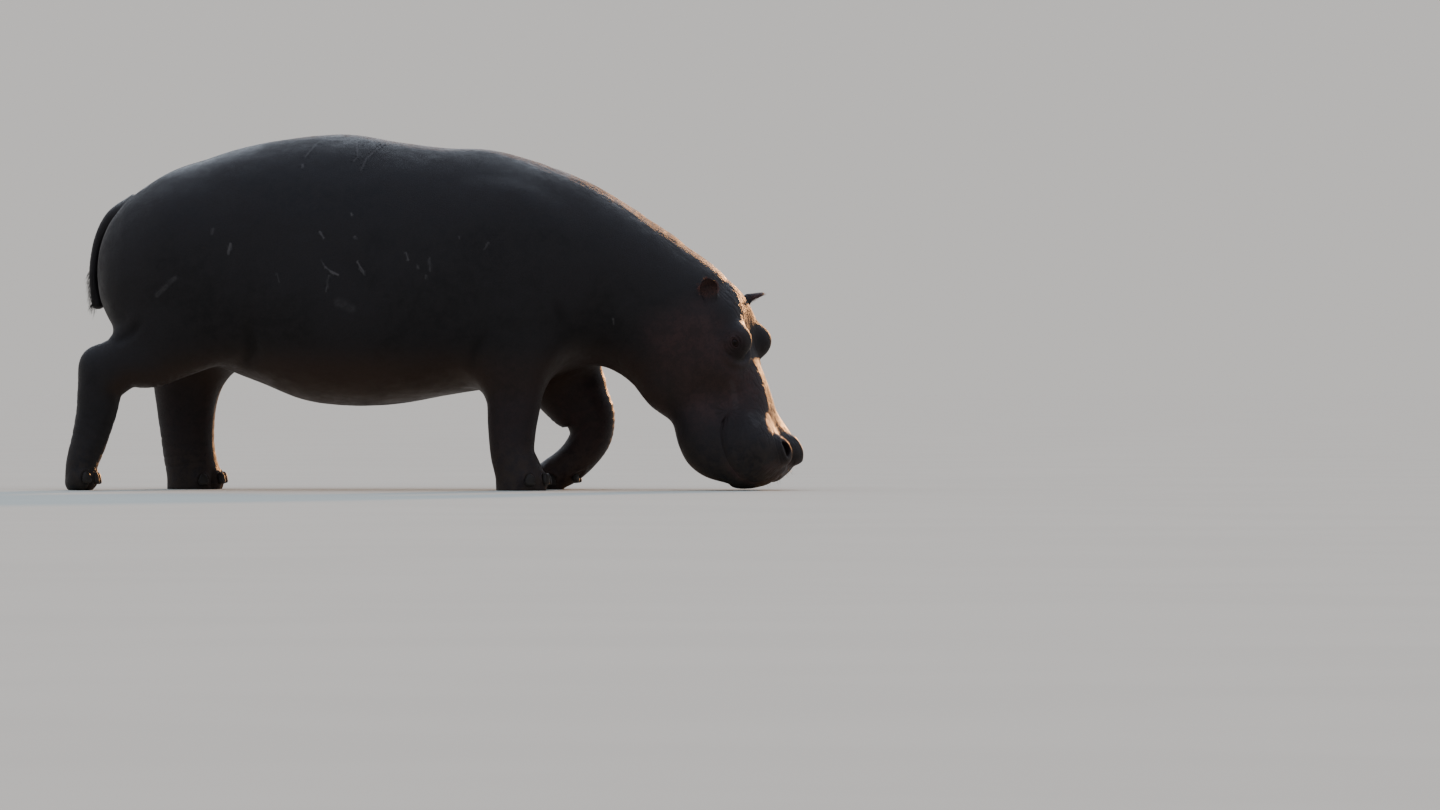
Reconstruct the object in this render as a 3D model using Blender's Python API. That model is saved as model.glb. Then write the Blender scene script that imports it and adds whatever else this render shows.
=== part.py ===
"""A common hippopotamus walking with its muzzle down to graze, life size, as a museum model.

The animal faces +X and stands on Z = 0, with its right side towards -Y. The flesh is one form,
blended from lofts and rounded lumps, meshed once and then parted into named nodes by thin cuts.
Eyes and toenails are nodes of their own, set in sockets. Nothing moves.
"""

from math import cos, radians, sin

import bmesh
import bpy
import numpy as np
from mathutils import Matrix, Vector

# Driving sizes, in metres.
GAP = 0.0003  # between neighbouring nodes
CELL = 0.0125  # of the grid that the body is meshed on
EAR_CELL = 0.005
TAIL_CELL = 0.008
BODY_BOX = (-1.72, -0.62, -0.05), (1.64, 0.62, 1.56)  # that the body's grid fills
EAR_REACH, TAIL_REACH = 0.2, 0.02  # of their grids past the ear's root and the tail's tube
EYE_FACETS, NOSTRIL_FACETS, NAIL_FACETS = (12, 8), (10, 6), (8, 5)  # round and from pole to pole
SOLE_DEPTH = 0.006  # how far the form goes below the floor before the soles are cut flat
EYEBALL = 0.023
RIGHT, LEFT = -1, 1

# Trunk and neck, in upright sections from the rump to the poll:
# x, back, belly, half width, squareness, how much wider it is low down
TRUNK = (
    (-1.280, 1.200, 0.700, 0.260, 2.2, 0.02),
    (-1.150, 1.328, 0.560, 0.390, 2.3, 0.04),
    (-0.950, 1.412, 0.530, 0.445, 2.3, 0.06),
    (-0.750, 1.468, 0.458, 0.485, 2.3, 0.09),
    (-0.550, 1.500, 0.380, 0.515, 2.3, 0.12),
    (-0.350, 1.508, 0.356, 0.525, 2.3, 0.13),
    (-0.150, 1.478, 0.366, 0.510, 2.3, 0.12),
    (0.050, 1.452, 0.400, 0.475, 2.3, 0.08),
    (0.250, 1.438, 0.430, 0.435, 2.2, 0.02),
    (0.450, 1.388, 0.460, 0.400, 2.2, 0.00),
    (0.650, 1.309, 0.525, 0.370, 2.2, 0.02),
    (0.850, 1.190, 0.500, 0.330, 2.2, 0.06),
    (1.000, 1.082, 0.535, 0.275, 2.2, 0.08),
    (1.140, 0.950, 0.590, 0.195, 2.2, 0.08),
    (1.240, 0.840, 0.640, 0.110, 2.2, 0.08),
)
TRUNK_CAPS = 0.050, 0.060  # how far the rounded ends reach past the first and last sections
# centre for the left side, radii, blend
MUSCLES = (
    ((-1.125, 0.150, 0.930), (0.298, 0.230, 0.355), 0.12),  # buttock, with the cleft between
    ((-1.030, 0.275, 0.860), (0.300, 0.155, 0.320), 0.14),  # haunch
    ((0.330, 0.280, 0.860), (0.240, 0.125, 0.330), 0.20),  # shoulder
)
NECK_TURN = ((-1.4, 0.0), (0.45, 0.0), (0.8, -0.012), (1.12, -0.045))  # x, sideways shift

# The head's frame: its origin is on the head's axis at the poll.
POLL = (1.108, -0.030, 0.872)
HEAD_PITCH = radians(64.0)  # muzzle below level
HEAD_TURN = radians(-12.5)  # to the animal's right
# along the head, top, bottom, half width, squareness, how much wider it is low down
HEAD = (
    (-0.170, -0.030, -0.170, 0.075, 2.2, 0.00),
    (-0.090, 0.048, -0.250, 0.150, 2.2, 0.00),
    (0.000, 0.106, -0.320, 0.200, 2.2, 0.05),
    (0.100, 0.126, -0.375, 0.230, 2.2, 0.10),
    (0.200, 0.130, -0.400, 0.245, 2.3, 0.12),
    (0.300, 0.112, -0.390, 0.235, 2.4, 0.16),
    (0.400, 0.102, -0.350, 0.210, 2.6, 0.24),
    (0.500, 0.096, -0.328, 0.196, 2.7, 0.26),
    (0.600, 0.080, -0.330, 0.210, 2.7, 0.18),
    (0.700, 0.053, -0.318, 0.238, 2.8, 0.06),
    (0.780, 0.037, -0.272, 0.245, 2.8, 0.02),
    (0.840, 0.023, -0.216, 0.232, 2.6, 0.02),
)
HEAD_CAPS = 0.040, 0.052


def smooth_table(stations, samples=220):
    """Smooth curves through the stations, sampled evenly along their first column."""
    table = np.array(stations, float)
    t = table[:, 0]
    slope = np.gradient(table, t, axis=0)
    at = np.linspace(t[0], t[-1], samples)
    i = np.clip(np.searchsorted(t, at, side="right") - 1, 0, len(t) - 2)
    span = (t[i + 1] - t[i])[:, None]
    u = (at[:, None] - t[i][:, None]) / span
    rise = u * u * (3 - 2 * u)
    start, end = u * (1 - u) ** 2 * span, u * u * (u - 1) * span
    return table[i] * (1 - rise) + table[i + 1] * rise + slope[i] * start + slope[i + 1] * end


def section_loft(along, side, up, table, caps):
    """Signed distance to a form given by upright sections along one straight axis."""
    top, bottom, wide, power, sag = (np.interp(along, table[:, 0], table[:, j]) for j in range(1, 6))
    half = (top - bottom) / 2
    height = up - (top + bottom) / 2
    level = height / half
    before, after = table[0, 0] - along, along - table[-1, 0]
    cap = np.where(before > 0, *caps)
    over = np.maximum(np.maximum(before, after), 0)
    across = np.abs(side) / (wide * (1 - sag * np.clip(level, -1, 1)))
    ring = (np.abs(level) ** power + across**power) ** (1 / power)
    size = np.sqrt(ring**2 + (over / cap) ** 2)
    reach = np.sqrt(height**2 + side**2 + over**2)
    return reach * (1 - 1 / np.maximum(size, 1e-6))


def ellipsoid(points, centre, radii, turn=None):
    """Signed distance, near enough, to an ellipsoid; turn is its 3x3 matrix of axes in rows."""
    p = points - np.array(centre)
    if turn is not None:
        p = p @ np.array(turn).T
    scaled = p / np.array(radii)
    size = np.sqrt((scaled**2).sum(1))
    steep = np.sqrt(((scaled / np.array(radii)) ** 2).sum(1))
    return size * (size - 1) / np.maximum(steep, 1e-9)


def blend(a, b, width):
    """Union of two distances, filleted over the given width."""
    mix = np.maximum(width - np.abs(a - b), 0) / width
    return np.minimum(a, b) - mix * mix * width / 4


def carve(a, b, width):
    """The form a with b taken out of it, its edge rounded over the given width."""
    return -blend(-a, b, width)


class Tube:
    """A limb: elliptic sections along a bent centre line.

    Each station is x, y, z, half size fore and aft, half size sideways and squareness.
    """

    def __init__(self, stations, side=(0, 1, 0), cap=0.05, samples=56):
        table = np.array(stations, float)
        steps = np.linalg.norm(np.diff(table[:, :3], axis=0), axis=1)
        length = np.concatenate([[0], np.cumsum(steps)])
        smooth = smooth_table(np.column_stack([length, table]), samples)
        self.centres = smooth[:, 1:4]
        self.sizes = smooth[:, 4:7]
        run = np.gradient(self.centres, axis=0)
        self.pitch = np.linalg.norm(run, axis=1)
        self.run = run / self.pitch[:, None]
        across = np.array(side) - self.run * (self.run @ np.array(side))[:, None]
        self.side = across / np.linalg.norm(across, axis=1)[:, None]
        self.fore = np.cross(self.side, self.run)
        self.cap = cap
        reach = self.sizes[:, :2].max(1)[:, None] + cap
        self.low = (self.centres - reach).min(0)
        self.high = (self.centres + reach).max(0)

    def distance(self, points):
        squares = (self.centres**2).sum(1)[None] - 2 * points @ self.centres.T
        i = squares.argmin(1)
        offset = points - self.centres[i]
        step = (offset * self.run[i]).sum(1) / self.pitch[i]
        place = i + np.clip(step, -0.5, 0.5)
        last = len(self.centres) - 1
        over = np.where(i == 0, -step, np.where(i == last, step, 0)) * self.pitch[i]
        over = np.maximum(over, 0)
        place = np.clip(place, 0, last)

        def at(values):
            return np.column_stack([
                np.interp(place, np.arange(last + 1), column) for column in values.T
            ])

        offset = points - at(self.centres)
        fore = (offset * at(self.fore)).sum(1)
        side = (offset * at(self.side)).sum(1)
        thick, wide, power = at(self.sizes).T
        ring = (np.abs(fore / thick) ** power + np.abs(side / wide) ** power) ** (1 / power)
        size = np.sqrt(ring**2 + (over / self.cap) ** 2)
        reach = np.sqrt(fore**2 + side**2 + over**2)
        return reach * (1 - 1 / np.maximum(size, 1e-6))


# Legs, from inside the trunk down to the sole. The right foreleg and the left hind leg carry
# the weight; the left foreleg is folded at the wrist and the right hind leg trails on its toes.
FORE_RIGHT = Tube((
    (0.300, -0.180, 0.900, 0.200, 0.150, 2.2),
    (0.330, -0.235, 0.700, 0.185, 0.155, 2.2),
    (0.352, -0.262, 0.520, 0.143, 0.135, 2.2),
    (0.357, -0.270, 0.400, 0.120, 0.115, 2.2),
    (0.348, -0.272, 0.250, 0.103, 0.100, 2.2),
    (0.351, -0.274, 0.150, 0.095, 0.100, 2.2),
    (0.380, -0.278, 0.060, 0.103, 0.112, 2.3),
    (0.387, -0.280, 0.000, 0.107, 0.118, 2.3),
))
FORE_LEFT = Tube((
    (0.400, 0.180, 0.850, 0.200, 0.150, 2.2),
    (0.455, 0.235, 0.660, 0.190, 0.155, 2.2),
    (0.519, 0.262, 0.494, 0.172, 0.135, 2.2),
    (0.587, 0.272, 0.381, 0.144, 0.115, 2.2),
    (0.640, 0.276, 0.297, 0.108, 0.102, 2.2),
    (0.640, 0.278, 0.225, 0.092, 0.100, 2.2),
    (0.594, 0.280, 0.149, 0.081, 0.104, 2.2),
    (0.534, 0.280, 0.094, 0.077, 0.110, 2.2),
    (0.473, 0.280, 0.058, 0.071, 0.114, 2.2),
    (0.438, 0.280, 0.032, 0.068, 0.114, 2.2),
    (0.428, 0.280, 0.004, 0.064, 0.114, 2.2),
))
HIND_RIGHT = Tube((
    (-1.000, -0.180, 0.930, 0.250, 0.160, 2.2),
    (-1.050, -0.240, 0.740, 0.225, 0.165, 2.2),
    (-1.180, -0.262, 0.590, 0.160, 0.140, 2.2),
    (-1.320, -0.270, 0.525, 0.112, 0.112, 2.2),
    (-1.390, -0.272, 0.450, 0.098, 0.098, 2.2),
    (-1.414, -0.274, 0.330, 0.086, 0.092, 2.2),
    (-1.444, -0.276, 0.210, 0.076, 0.096, 2.2),
    (-1.475, -0.278, 0.110, 0.067, 0.106, 2.2),
    (-1.487, -0.280, 0.030, 0.059, 0.108, 2.2),
))
HIND_LEFT = Tube((
    (-1.000, 0.180, 0.950, 0.270, 0.160, 2.2),
    (-1.030, 0.240, 0.760, 0.250, 0.165, 2.2),
    (-1.065, 0.262, 0.580, 0.195, 0.145, 2.2),
    (-1.090, 0.270, 0.420, 0.145, 0.120, 2.2),
    (-1.090, 0.272, 0.280, 0.122, 0.108, 2.2),
    (-1.080, 0.275, 0.150, 0.114, 0.110, 2.2),
    (-1.063, 0.278, 0.060, 0.116, 0.118, 2.3),
    (-1.058, 0.280, 0.000, 0.120, 0.124, 2.3),
))
LEGS = ((FORE_RIGHT, 0.13), (FORE_LEFT, 0.10), (HIND_RIGHT, 0.07), (HIND_LEFT, 0.09))  # blend

TAIL = Tube((
    (-1.270, 0.0, 1.200, 0.060, 0.085, 2.2),
    (-1.370, 0.0, 1.150, 0.042, 0.070, 2.2),
    (-1.425, 0.0, 1.070, 0.030, 0.056, 2.2),
    (-1.450, 0.0, 0.970, 0.025, 0.050, 2.2),
    (-1.452, 0.0, 0.870, 0.025, 0.048, 2.2),
    (-1.438, 0.0, 0.790, 0.031, 0.046, 2.2),
), cap=0.025)


# The toes: where along each foot's tube from its end, how far down, their angles round the foot.
TOE = (0.040, 0.036, 0.036)
TOE_ANGLES = (-66, -23, 23, 66)


def toes(leg, back):
    """Toe centre and outward direction by toe number, counted from the animal's right."""
    end = len(leg.centres) - 1 - back
    thick, wide = leg.sizes[end, :2] - 0.022
    found = {}
    for number, angle in enumerate(TOE_ANGLES, 1):
        ahead, aside = cos(radians(angle)), sin(radians(angle))
        spot = leg.centres[end] - leg.fore[end] * ahead * thick + leg.side[end] * aside * wide
        outward = -leg.fore[end] * ahead * wide + leg.side[end] * aside * thick
        found[number] = (spot, outward / np.linalg.norm(outward))
    return found


FEET = (toes(FORE_RIGHT, 2), toes(FORE_LEFT, 2), toes(HIND_RIGHT, 1), toes(HIND_LEFT, 2))


def head_axes():
    """Rows: along the head to the muzzle, out of its forehead, and to the animal's left."""
    p, t = HEAD_PITCH, HEAD_TURN
    along = (cos(p) * cos(t), cos(p) * sin(t), -sin(p))
    upward = (sin(p) * cos(t), sin(p) * sin(t), cos(p))
    left = (-sin(t), cos(t), 0)
    return np.array([along, upward, left])


HEAD_AXES = head_axes()


def in_head(points):
    return (points - np.array(POLL)) @ HEAD_AXES.T


def from_head(along, upward, left):
    return np.array(POLL) + np.array([along, upward, left]) @ HEAD_AXES


# Ears, in the head's frame: root, tip and the way the cup opens. They are turned unevenly.
EARS = {
    RIGHT: ((0.114, 0.068, -0.152), (0.031, 0.113, -0.224), (0.50, 0.15, -0.80)),
    LEFT: ((0.148, 0.095, 0.150), (0.136, 0.192, 0.240), (0.94, -0.02, 0.30)),
}

TRUNK_TABLE = smooth_table(TRUNK)
HEAD_TABLE = smooth_table(HEAD)
TURN_TABLE = smooth_table(NECK_TURN, 60)


def trunk_form(points):
    x = points[:, 0]
    side = points[:, 1] - np.interp(x, TURN_TABLE[:, 0], TURN_TABLE[:, 1])
    d = section_loft(x, side, points[:, 2], TRUNK_TABLE, TRUNK_CAPS)
    for hand in (RIGHT, LEFT):
        for (x, y, z), radii, width in MUSCLES:
            d = blend(d, ellipsoid(points, (x, hand * y, z), radii), width)
    return d


def head_form(points):
    """The head without its ears: loft, brow, eye mounds, nostrils, lips, cheeks and jaw."""
    p = in_head(points)
    d = section_loft(p[:, 0], p[:, 2], p[:, 1], HEAD_TABLE, HEAD_CAPS)
    for hand in (RIGHT, LEFT):
        lumps = (
            # centre (along, up, left), radii, blend
            ((0.220, -0.160, 0.150), (0.180, 0.190, 0.110), 0.10),  # cheek muscle
            ((0.345, -0.268, 0.130), (0.115, 0.100, 0.090), 0.07),  # angle of the jaw
            ((0.318, 0.094, 0.156), (0.066, 0.068, 0.062), 0.032),  # eye mound
            ((0.225, 0.078, 0.118), (0.110, 0.056, 0.064), 0.07),  # brow behind the eye
            ((0.350, -0.010, 0.135), (0.120, 0.070, 0.070), 0.08),  # cheekbone below the eye
            ((0.812, 0.046, 0.088), (0.058, 0.046, 0.060), 0.036),  # nostril
            ((0.745, -0.050, 0.140), (0.120, 0.105, 0.115), 0.08),  # upper lip pad
            ((0.640, -0.215, 0.130), (0.130, 0.095, 0.090), 0.08),  # tusk swelling of the jaw
        )
        for (along, up, left), radii, width in lumps:
            d = blend(d, ellipsoid(p, (along, up, hand * left), radii), width)
    return blend(d, ellipsoid(p, (0.785, -0.045, 0), (0.100, 0.080, 0.120)), 0.05)


def body_form(points):
    """The whole flesh but for ears and tail, standing on Z = 0."""
    d = blend(trunk_form(points), head_form(points), 0.12)
    for leg, width in LEGS:
        near = ((points > leg.low - width) & (points < leg.high + width)).all(1)
        d[near] = blend(d[near], leg.distance(points[near]), width)
    hock = ellipsoid(points, (-1.411, -0.272, 0.525), (0.077, 0.070, 0.085))
    d = blend(d, hock, 0.05)
    for foot in FEET:
        for centre, _ in foot.values():
            near = (np.abs(points - centre) < 0.12).all(1)
            d[near] = blend(d[near], ellipsoid(points[near], centre, TOE), 0.03)
    return carve(d, points[:, 2] + SOLE_DEPTH, 0.008)


def surface_net(form, low, high, cell):
    """Vertices and quads where a form's distance changes sign on a grid (a surface net)."""
    counts = np.ceil((np.array(high) - low) / cell).astype(int) + 1
    axes = [low[i] + cell * np.arange(counts[i]) for i in range(3)]
    values = np.empty(counts)
    for i, x in enumerate(axes[0]):
        y, z = np.meshgrid(axes[1], axes[2], indexing="ij")
        slab = np.column_stack([np.full(y.size, x), y.ravel(), z.ravel()])
        values[i] = form(slab).reshape(y.shape)
    inside = values < 0
    total = np.zeros(tuple(counts - 1) + (3,))
    crossings = np.zeros(counts - 1)
    for axis in range(3):
        first = [slice(None)] * 3
        second = [slice(None)] * 3
        first[axis], second[axis] = slice(0, -1), slice(1, None)
        a, b = values[tuple(first)], values[tuple(second)]
        cross = (a < 0) != (b < 0)
        share = np.where(cross, a / np.where(cross, a - b, 1), 0)
        others = [k for k in range(3) if k != axis]
        for u in (0, 1):
            for v in (0, 1):
                cut = [slice(None)] * 3
                cut[others[0]] = slice(u, u - 1 or None)
                cut[others[1]] = slice(v, v - 1 or None)
                here = cross[tuple(cut)]
                point = np.zeros(here.shape + (3,))
                point[..., axis] = share[tuple(cut)]
                point[..., others[0]], point[..., others[1]] = u, v
                total += point * here[..., None]
                crossings += here
    used = crossings > 0
    number = np.full(used.shape, -1)
    number[used] = np.arange(used.sum())
    corner = np.argwhere(used)
    vertices = np.array(low) + cell * (corner + total[used] / crossings[used][:, None])
    quads = []
    for axis in range(3):
        first = [slice(1, -1)] * 3
        second = [slice(1, -1)] * 3
        first[axis], second[axis] = slice(0, -1), slice(1, None)
        a, b = inside[tuple(first)], inside[tuple(second)]
        at = np.argwhere(a != b)
        others = [(axis + 1) % 3, (axis + 2) % 3]
        shift = np.ones(3, int)
        shift[axis] = 0
        at_cell = at + shift
        ring = []
        for u, v in ((-1, -1), (0, -1), (0, 0), (-1, 0)):
            step = np.zeros(3, int)
            step[others[0]], step[others[1]] = u, v
            place = at_cell + step
            ring.append(number[place[:, 0], place[:, 1], place[:, 2]])
        quad = np.column_stack(ring)
        flip = b[tuple(at.T)]
        quad[flip] = quad[flip][:, ::-1]
        quads.append(quad)
    return vertices, np.concatenate(quads)


def settle(form, vertices, rounds=2, step=0.002):
    """Vertices moved onto the form itself, along its gradient."""
    for _ in range(rounds):
        here = form(vertices)
        slope = np.column_stack([
            form(vertices + step * np.eye(3)[k]) - here for k in range(3)
        ]) / step
        vertices = vertices - slope * (here / np.maximum((slope**2).sum(1), 0.05))[:, None]
    return vertices


def mesh_of(name, vertices, faces):
    mesh = bpy.data.meshes.new(name)
    mesh.from_pydata([tuple(v) for v in vertices], [], [tuple(int(i) for i in f) for f in faces])
    mesh.validate()
    return mesh


def ear_form(hand):
    """A cupped ear on its stalk, from its root in the head to its tip."""
    root, tip, opening = EARS[hand]
    root, tip = from_head(*root), from_head(*tip)
    along = tip - root
    length = np.linalg.norm(along)
    along /= length
    facing = np.array(opening) @ HEAD_AXES
    facing -= along * (facing @ along)
    facing /= np.linalg.norm(facing)
    axes = np.array([along, np.cross(facing, along), facing])
    middle = root + along * 0.55 * length

    def form(points):
        cup = ellipsoid(points, middle, (0.46 * length, 0.042, 0.027), axes)
        hollow = ellipsoid(points, middle + facing * 0.018 + along * 0.006,
                           (0.36 * length, 0.032, 0.024), axes)
        stalk = ellipsoid(points, root, (0.050, 0.034, 0.026), axes)
        return carve(blend(cup, stalk, 0.02), hollow, 0.008)

    return form


# The looks, and the pieces that the flesh is parted into.

HIDE = ("hide", (0.090, 0.072, 0.070), 0.55)
HORN = ("toenail", (0.045, 0.036, 0.030), 0.45)
EYE = ("eye", (0.020, 0.012, 0.008), 0.08)
EYES = {RIGHT: (0.325, 0.098, -0.196), LEFT: (0.325, 0.098, 0.196)}
EYE_FACING = (0.12, 0.22, 0.96)
LID_OPENING = (0.012, 0.018, 0.022)
NOSTRIL = (0.030, 0.011, 0.030)
NOSTRIL_PLACE, NOSTRIL_ASIDE = (0.806, 0.090), 0.088  # along and up the head, and sideways
FACES = {"body": 3350, "ear": 230, "tail": 200}


def clear_scene():
    for thing in list(bpy.data.objects):
        bpy.data.objects.remove(thing)


def finish_of(look):
    name, colour, roughness = look
    if name in bpy.data.materials:
        return bpy.data.materials[name]
    material = bpy.data.materials.new(name)
    material.use_nodes = True
    shader = material.node_tree.nodes["Principled BSDF"]
    shader.inputs["Base Color"].default_value = (*colour, 1)
    shader.inputs["Roughness"].default_value = roughness
    shader.inputs["Metallic"].default_value = 0
    return material


def add_object(name, mesh, look=None):
    thing = bpy.data.objects.new(name, mesh)
    bpy.context.scene.collection.objects.link(thing)
    if look:
        mesh.materials.clear()
        mesh.materials.append(finish_of(look))
        mesh.shade_smooth()
    return thing


def applied(thing):
    """The object's mesh with its modifiers applied; the object is then removed."""
    bpy.context.view_layer.update()
    graph = bpy.context.evaluated_depsgraph_get()
    mesh = bpy.data.meshes.new_from_object(thing.evaluated_get(graph))
    bpy.data.objects.remove(thing)
    return mesh


def combined(mesh, cutter, operation):
    """A copy of the mesh cut by, or kept inside, another mesh."""
    thing = add_object("work", mesh.copy())
    tool = add_object("tool", cutter)
    boolean = thing.modifiers.new("cut", "BOOLEAN")
    boolean.operation = operation
    boolean.object = tool
    result = applied(thing)
    bpy.data.objects.remove(tool)
    return result


def meshed(form, low, high, cell, faces):
    """A form's surface as triangles, thinned to about so many."""
    vertices, quads = surface_net(form, np.array(low), high, cell)
    thing = add_object("form", mesh_of("form", settle(form, vertices), quads))
    thin = thing.modifiers.new("thin", "DECIMATE")
    thin.ratio = faces / (2 * len(quads))
    thin.use_collapse_triangulate = True
    return applied(thing)


def block(corners, grow=0.0):
    """A convex block round the given corners, grown by the gap where it cuts."""
    shape = bmesh.new()
    for corner in corners:
        shape.verts.new(corner)
    bmesh.ops.convex_hull(shape, input=shape.verts)
    bmesh.ops.recalc_face_normals(shape, faces=shape.faces)
    shape.normal_update()
    moves = [v.normal * v.calc_shell_factor() * grow for v in shape.verts]
    for vertex, move in zip(shape.verts, moves):
        vertex.co += move
    mesh = bpy.data.meshes.new("block")
    shape.to_mesh(mesh)
    shape.free()
    return mesh


def ball(centre, radii, axes, segments, rings):
    """An ellipsoid whose radii lie along the rows of axes."""
    shape = bmesh.new()
    turn = Matrix(np.array(axes).T.tolist()).to_4x4()
    place = Matrix.Translation(Vector(centre)) @ turn @ Matrix.Diagonal((*radii, 1))
    bmesh.ops.create_uvsphere(shape, u_segments=segments, v_segments=rings, radius=1, matrix=place)
    bmesh.ops.recalc_face_normals(shape, faces=shape.faces)
    mesh = bpy.data.meshes.new("ball")
    shape.to_mesh(mesh)
    shape.free()
    return mesh


def head_axes_facing(hand):
    """Rows of axes whose last one is the way that an eye looks."""
    out = np.array((EYE_FACING[0], EYE_FACING[1], hand * EYE_FACING[2])) @ HEAD_AXES
    out /= np.linalg.norm(out)
    across = np.cross(HEAD_AXES[0], out)
    across /= np.linalg.norm(across)
    return np.array([np.cross(across, out), across, out])


def eye_and_opening(hand):
    """The eyeball's middle, its axes, and the opening between the lids in front of it."""
    middle = from_head(*EYES[hand])
    axes = head_axes_facing(hand)
    return middle, axes, middle + axes[2] * EYEBALL


def nail_axes(outward):
    """Thickness outwards, width across and height up the toe."""
    across = np.cross((0, 0, 1), outward)
    across /= np.linalg.norm(across)
    return np.array([outward, across, np.cross(outward, across)])


# Blocks that part the flesh, as corners seen from the side (x, z) and from sideways limits
SIDE_BLOCKS = {
    "head": ((0.81, 0.44), (1.20, 1.10), (1.80, 1.10), (1.80, -0.10), (0.89, -0.10)),
    "neck": ((0.62, 0.40), (0.84, 1.50), (1.50, 1.40), (1.10, 0.40)),
}
# For the limbs: x from and to, the side, and the height of the cut at the inside and outside
LIMB_BLOCKS = {
    "foreleg_right": (0.08, 0.58, RIGHT, 0.42, 0.58),
    "foreleg_left": (0.26, 0.90, LEFT, 0.42, 0.58),
    "hindleg_right": (-1.75, -0.80, RIGHT, 0.48, 0.66),
    "hindleg_left": (-1.40, -0.75, LEFT, 0.46, 0.62),
}
LIMB_INSIDE, LIMB_OUTSIDE = 0.09, 0.70
# For the feet: the side, and the block's corners seen from the side
FOOT_BLOCKS = {
    "forefoot_right": (RIGHT, ((0.10, -0.1), (0.10, 0.125), (0.60, 0.125), (0.60, -0.1))),
    "forefoot_left": (LEFT, ((0.28, -0.1), (0.28, 0.30), (0.42, 0.30), (0.82, -0.1))),
    "hindfoot_right": (RIGHT, ((-1.75, -0.1), (-1.75, 0.15), (-1.25, 0.19), (-1.25, -0.1))),
    "hindfoot_left": (LEFT, ((-1.40, -0.1), (-1.40, 0.125), (-0.80, 0.125), (-0.80, -0.1))),
}
FLOOR = ((-2.0, 0.0), (2.0, 0.0), (2.0, -0.2), (-2.0, -0.2))
SIDEWAYS = 0.8
NAIL = (0.013, 0.023, 0.027)  # half thickness, half width, half height
NAIL_TILT = 0.12  # upward part of the way it faces
NAIL_LIFT = 0.006  # least height of its lower end
NAIL_SUNK = 0.003  # of its middle under the skin
NAIL_SEARCH, NAIL_STEPS = 0.12, 81  # farthest skin from a toe's middle, and the tries up to it


def side_block(corners, low, high, grow):
    return block([(x, y, z) for x, z in corners for y in (low, high)], grow)


def limb_block(name, grow):
    start, end, hand, inside, outside = LIMB_BLOCKS[name]
    section = (
        (LIMB_INSIDE, -0.1), (LIMB_INSIDE, inside), (LIMB_OUTSIDE, outside), (LIMB_OUTSIDE, -0.1)
    )
    return block([(x, hand * y, z) for y, z in section for x in (start, end)], grow)


def foot_block(name, grow):
    hand, corners = FOOT_BLOCKS[name]
    low, high = sorted((hand * LIMB_INSIDE / 2, hand * LIMB_OUTSIDE))
    return side_block(corners, low, high, grow)


def cutting_block(name, grow=0.0):
    if name in SIDE_BLOCKS:
        return side_block(SIDE_BLOCKS[name], -SIDEWAYS, SIDEWAYS, grow)
    if name in LIMB_BLOCKS:
        return limb_block(name, grow)
    return foot_block(name, grow)


def whole(mesh):
    """The mesh without the crumbs that a cut can leave: only its largest body is kept."""
    shape = bmesh.new()
    shape.from_mesh(mesh)
    bodies = []
    waiting = set(shape.verts)
    while waiting:
        body, edge = set(), [waiting.pop()]
        while edge:
            vertex = edge.pop()
            body.add(vertex)
            for link in vertex.link_edges:
                other = link.other_vert(vertex)
                if other in waiting:
                    waiting.remove(other)
                    edge.append(other)
        bodies.append(body)
    largest = max(bodies, key=len)
    crumbs = [v for body in bodies if body is not largest for v in body]
    bmesh.ops.delete(shape, geom=crumbs, context="VERTS")
    shape.to_mesh(mesh)
    shape.free()
    return mesh


def swollen(mesh, by):
    """A copy of the mesh grown along its normals, to cut a pocket with a gap all round."""
    copy = mesh.copy()
    normals = [vertex.normal.copy() for vertex in copy.vertices]
    for vertex, normal in zip(copy.vertices, normals):
        vertex.co += normal * by
    return copy


def nails_of(name, foot):
    """The four nails of one foot by node name, as ellipsoids that show at the skin."""
    found = {}
    for number, (middle, outward) in foot.items():
        facing = outward * (1, 1, 0) + np.array((0, 0, NAIL_TILT))
        facing /= np.linalg.norm(facing)
        start = np.array((middle[0], middle[1], max(middle[2], NAIL[2] + NAIL_LIFT)))
        steps = np.linspace(0.0, NAIL_SEARCH, NAIL_STEPS)
        outside = body_form(start + facing * steps[:, None]) > 0
        place = start + facing * (steps[np.argmax(outside)] - NAIL_SUNK)
        found[f"toenail_{name}_{number}"] = (place, nail_axes(facing))
    return found


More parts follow.
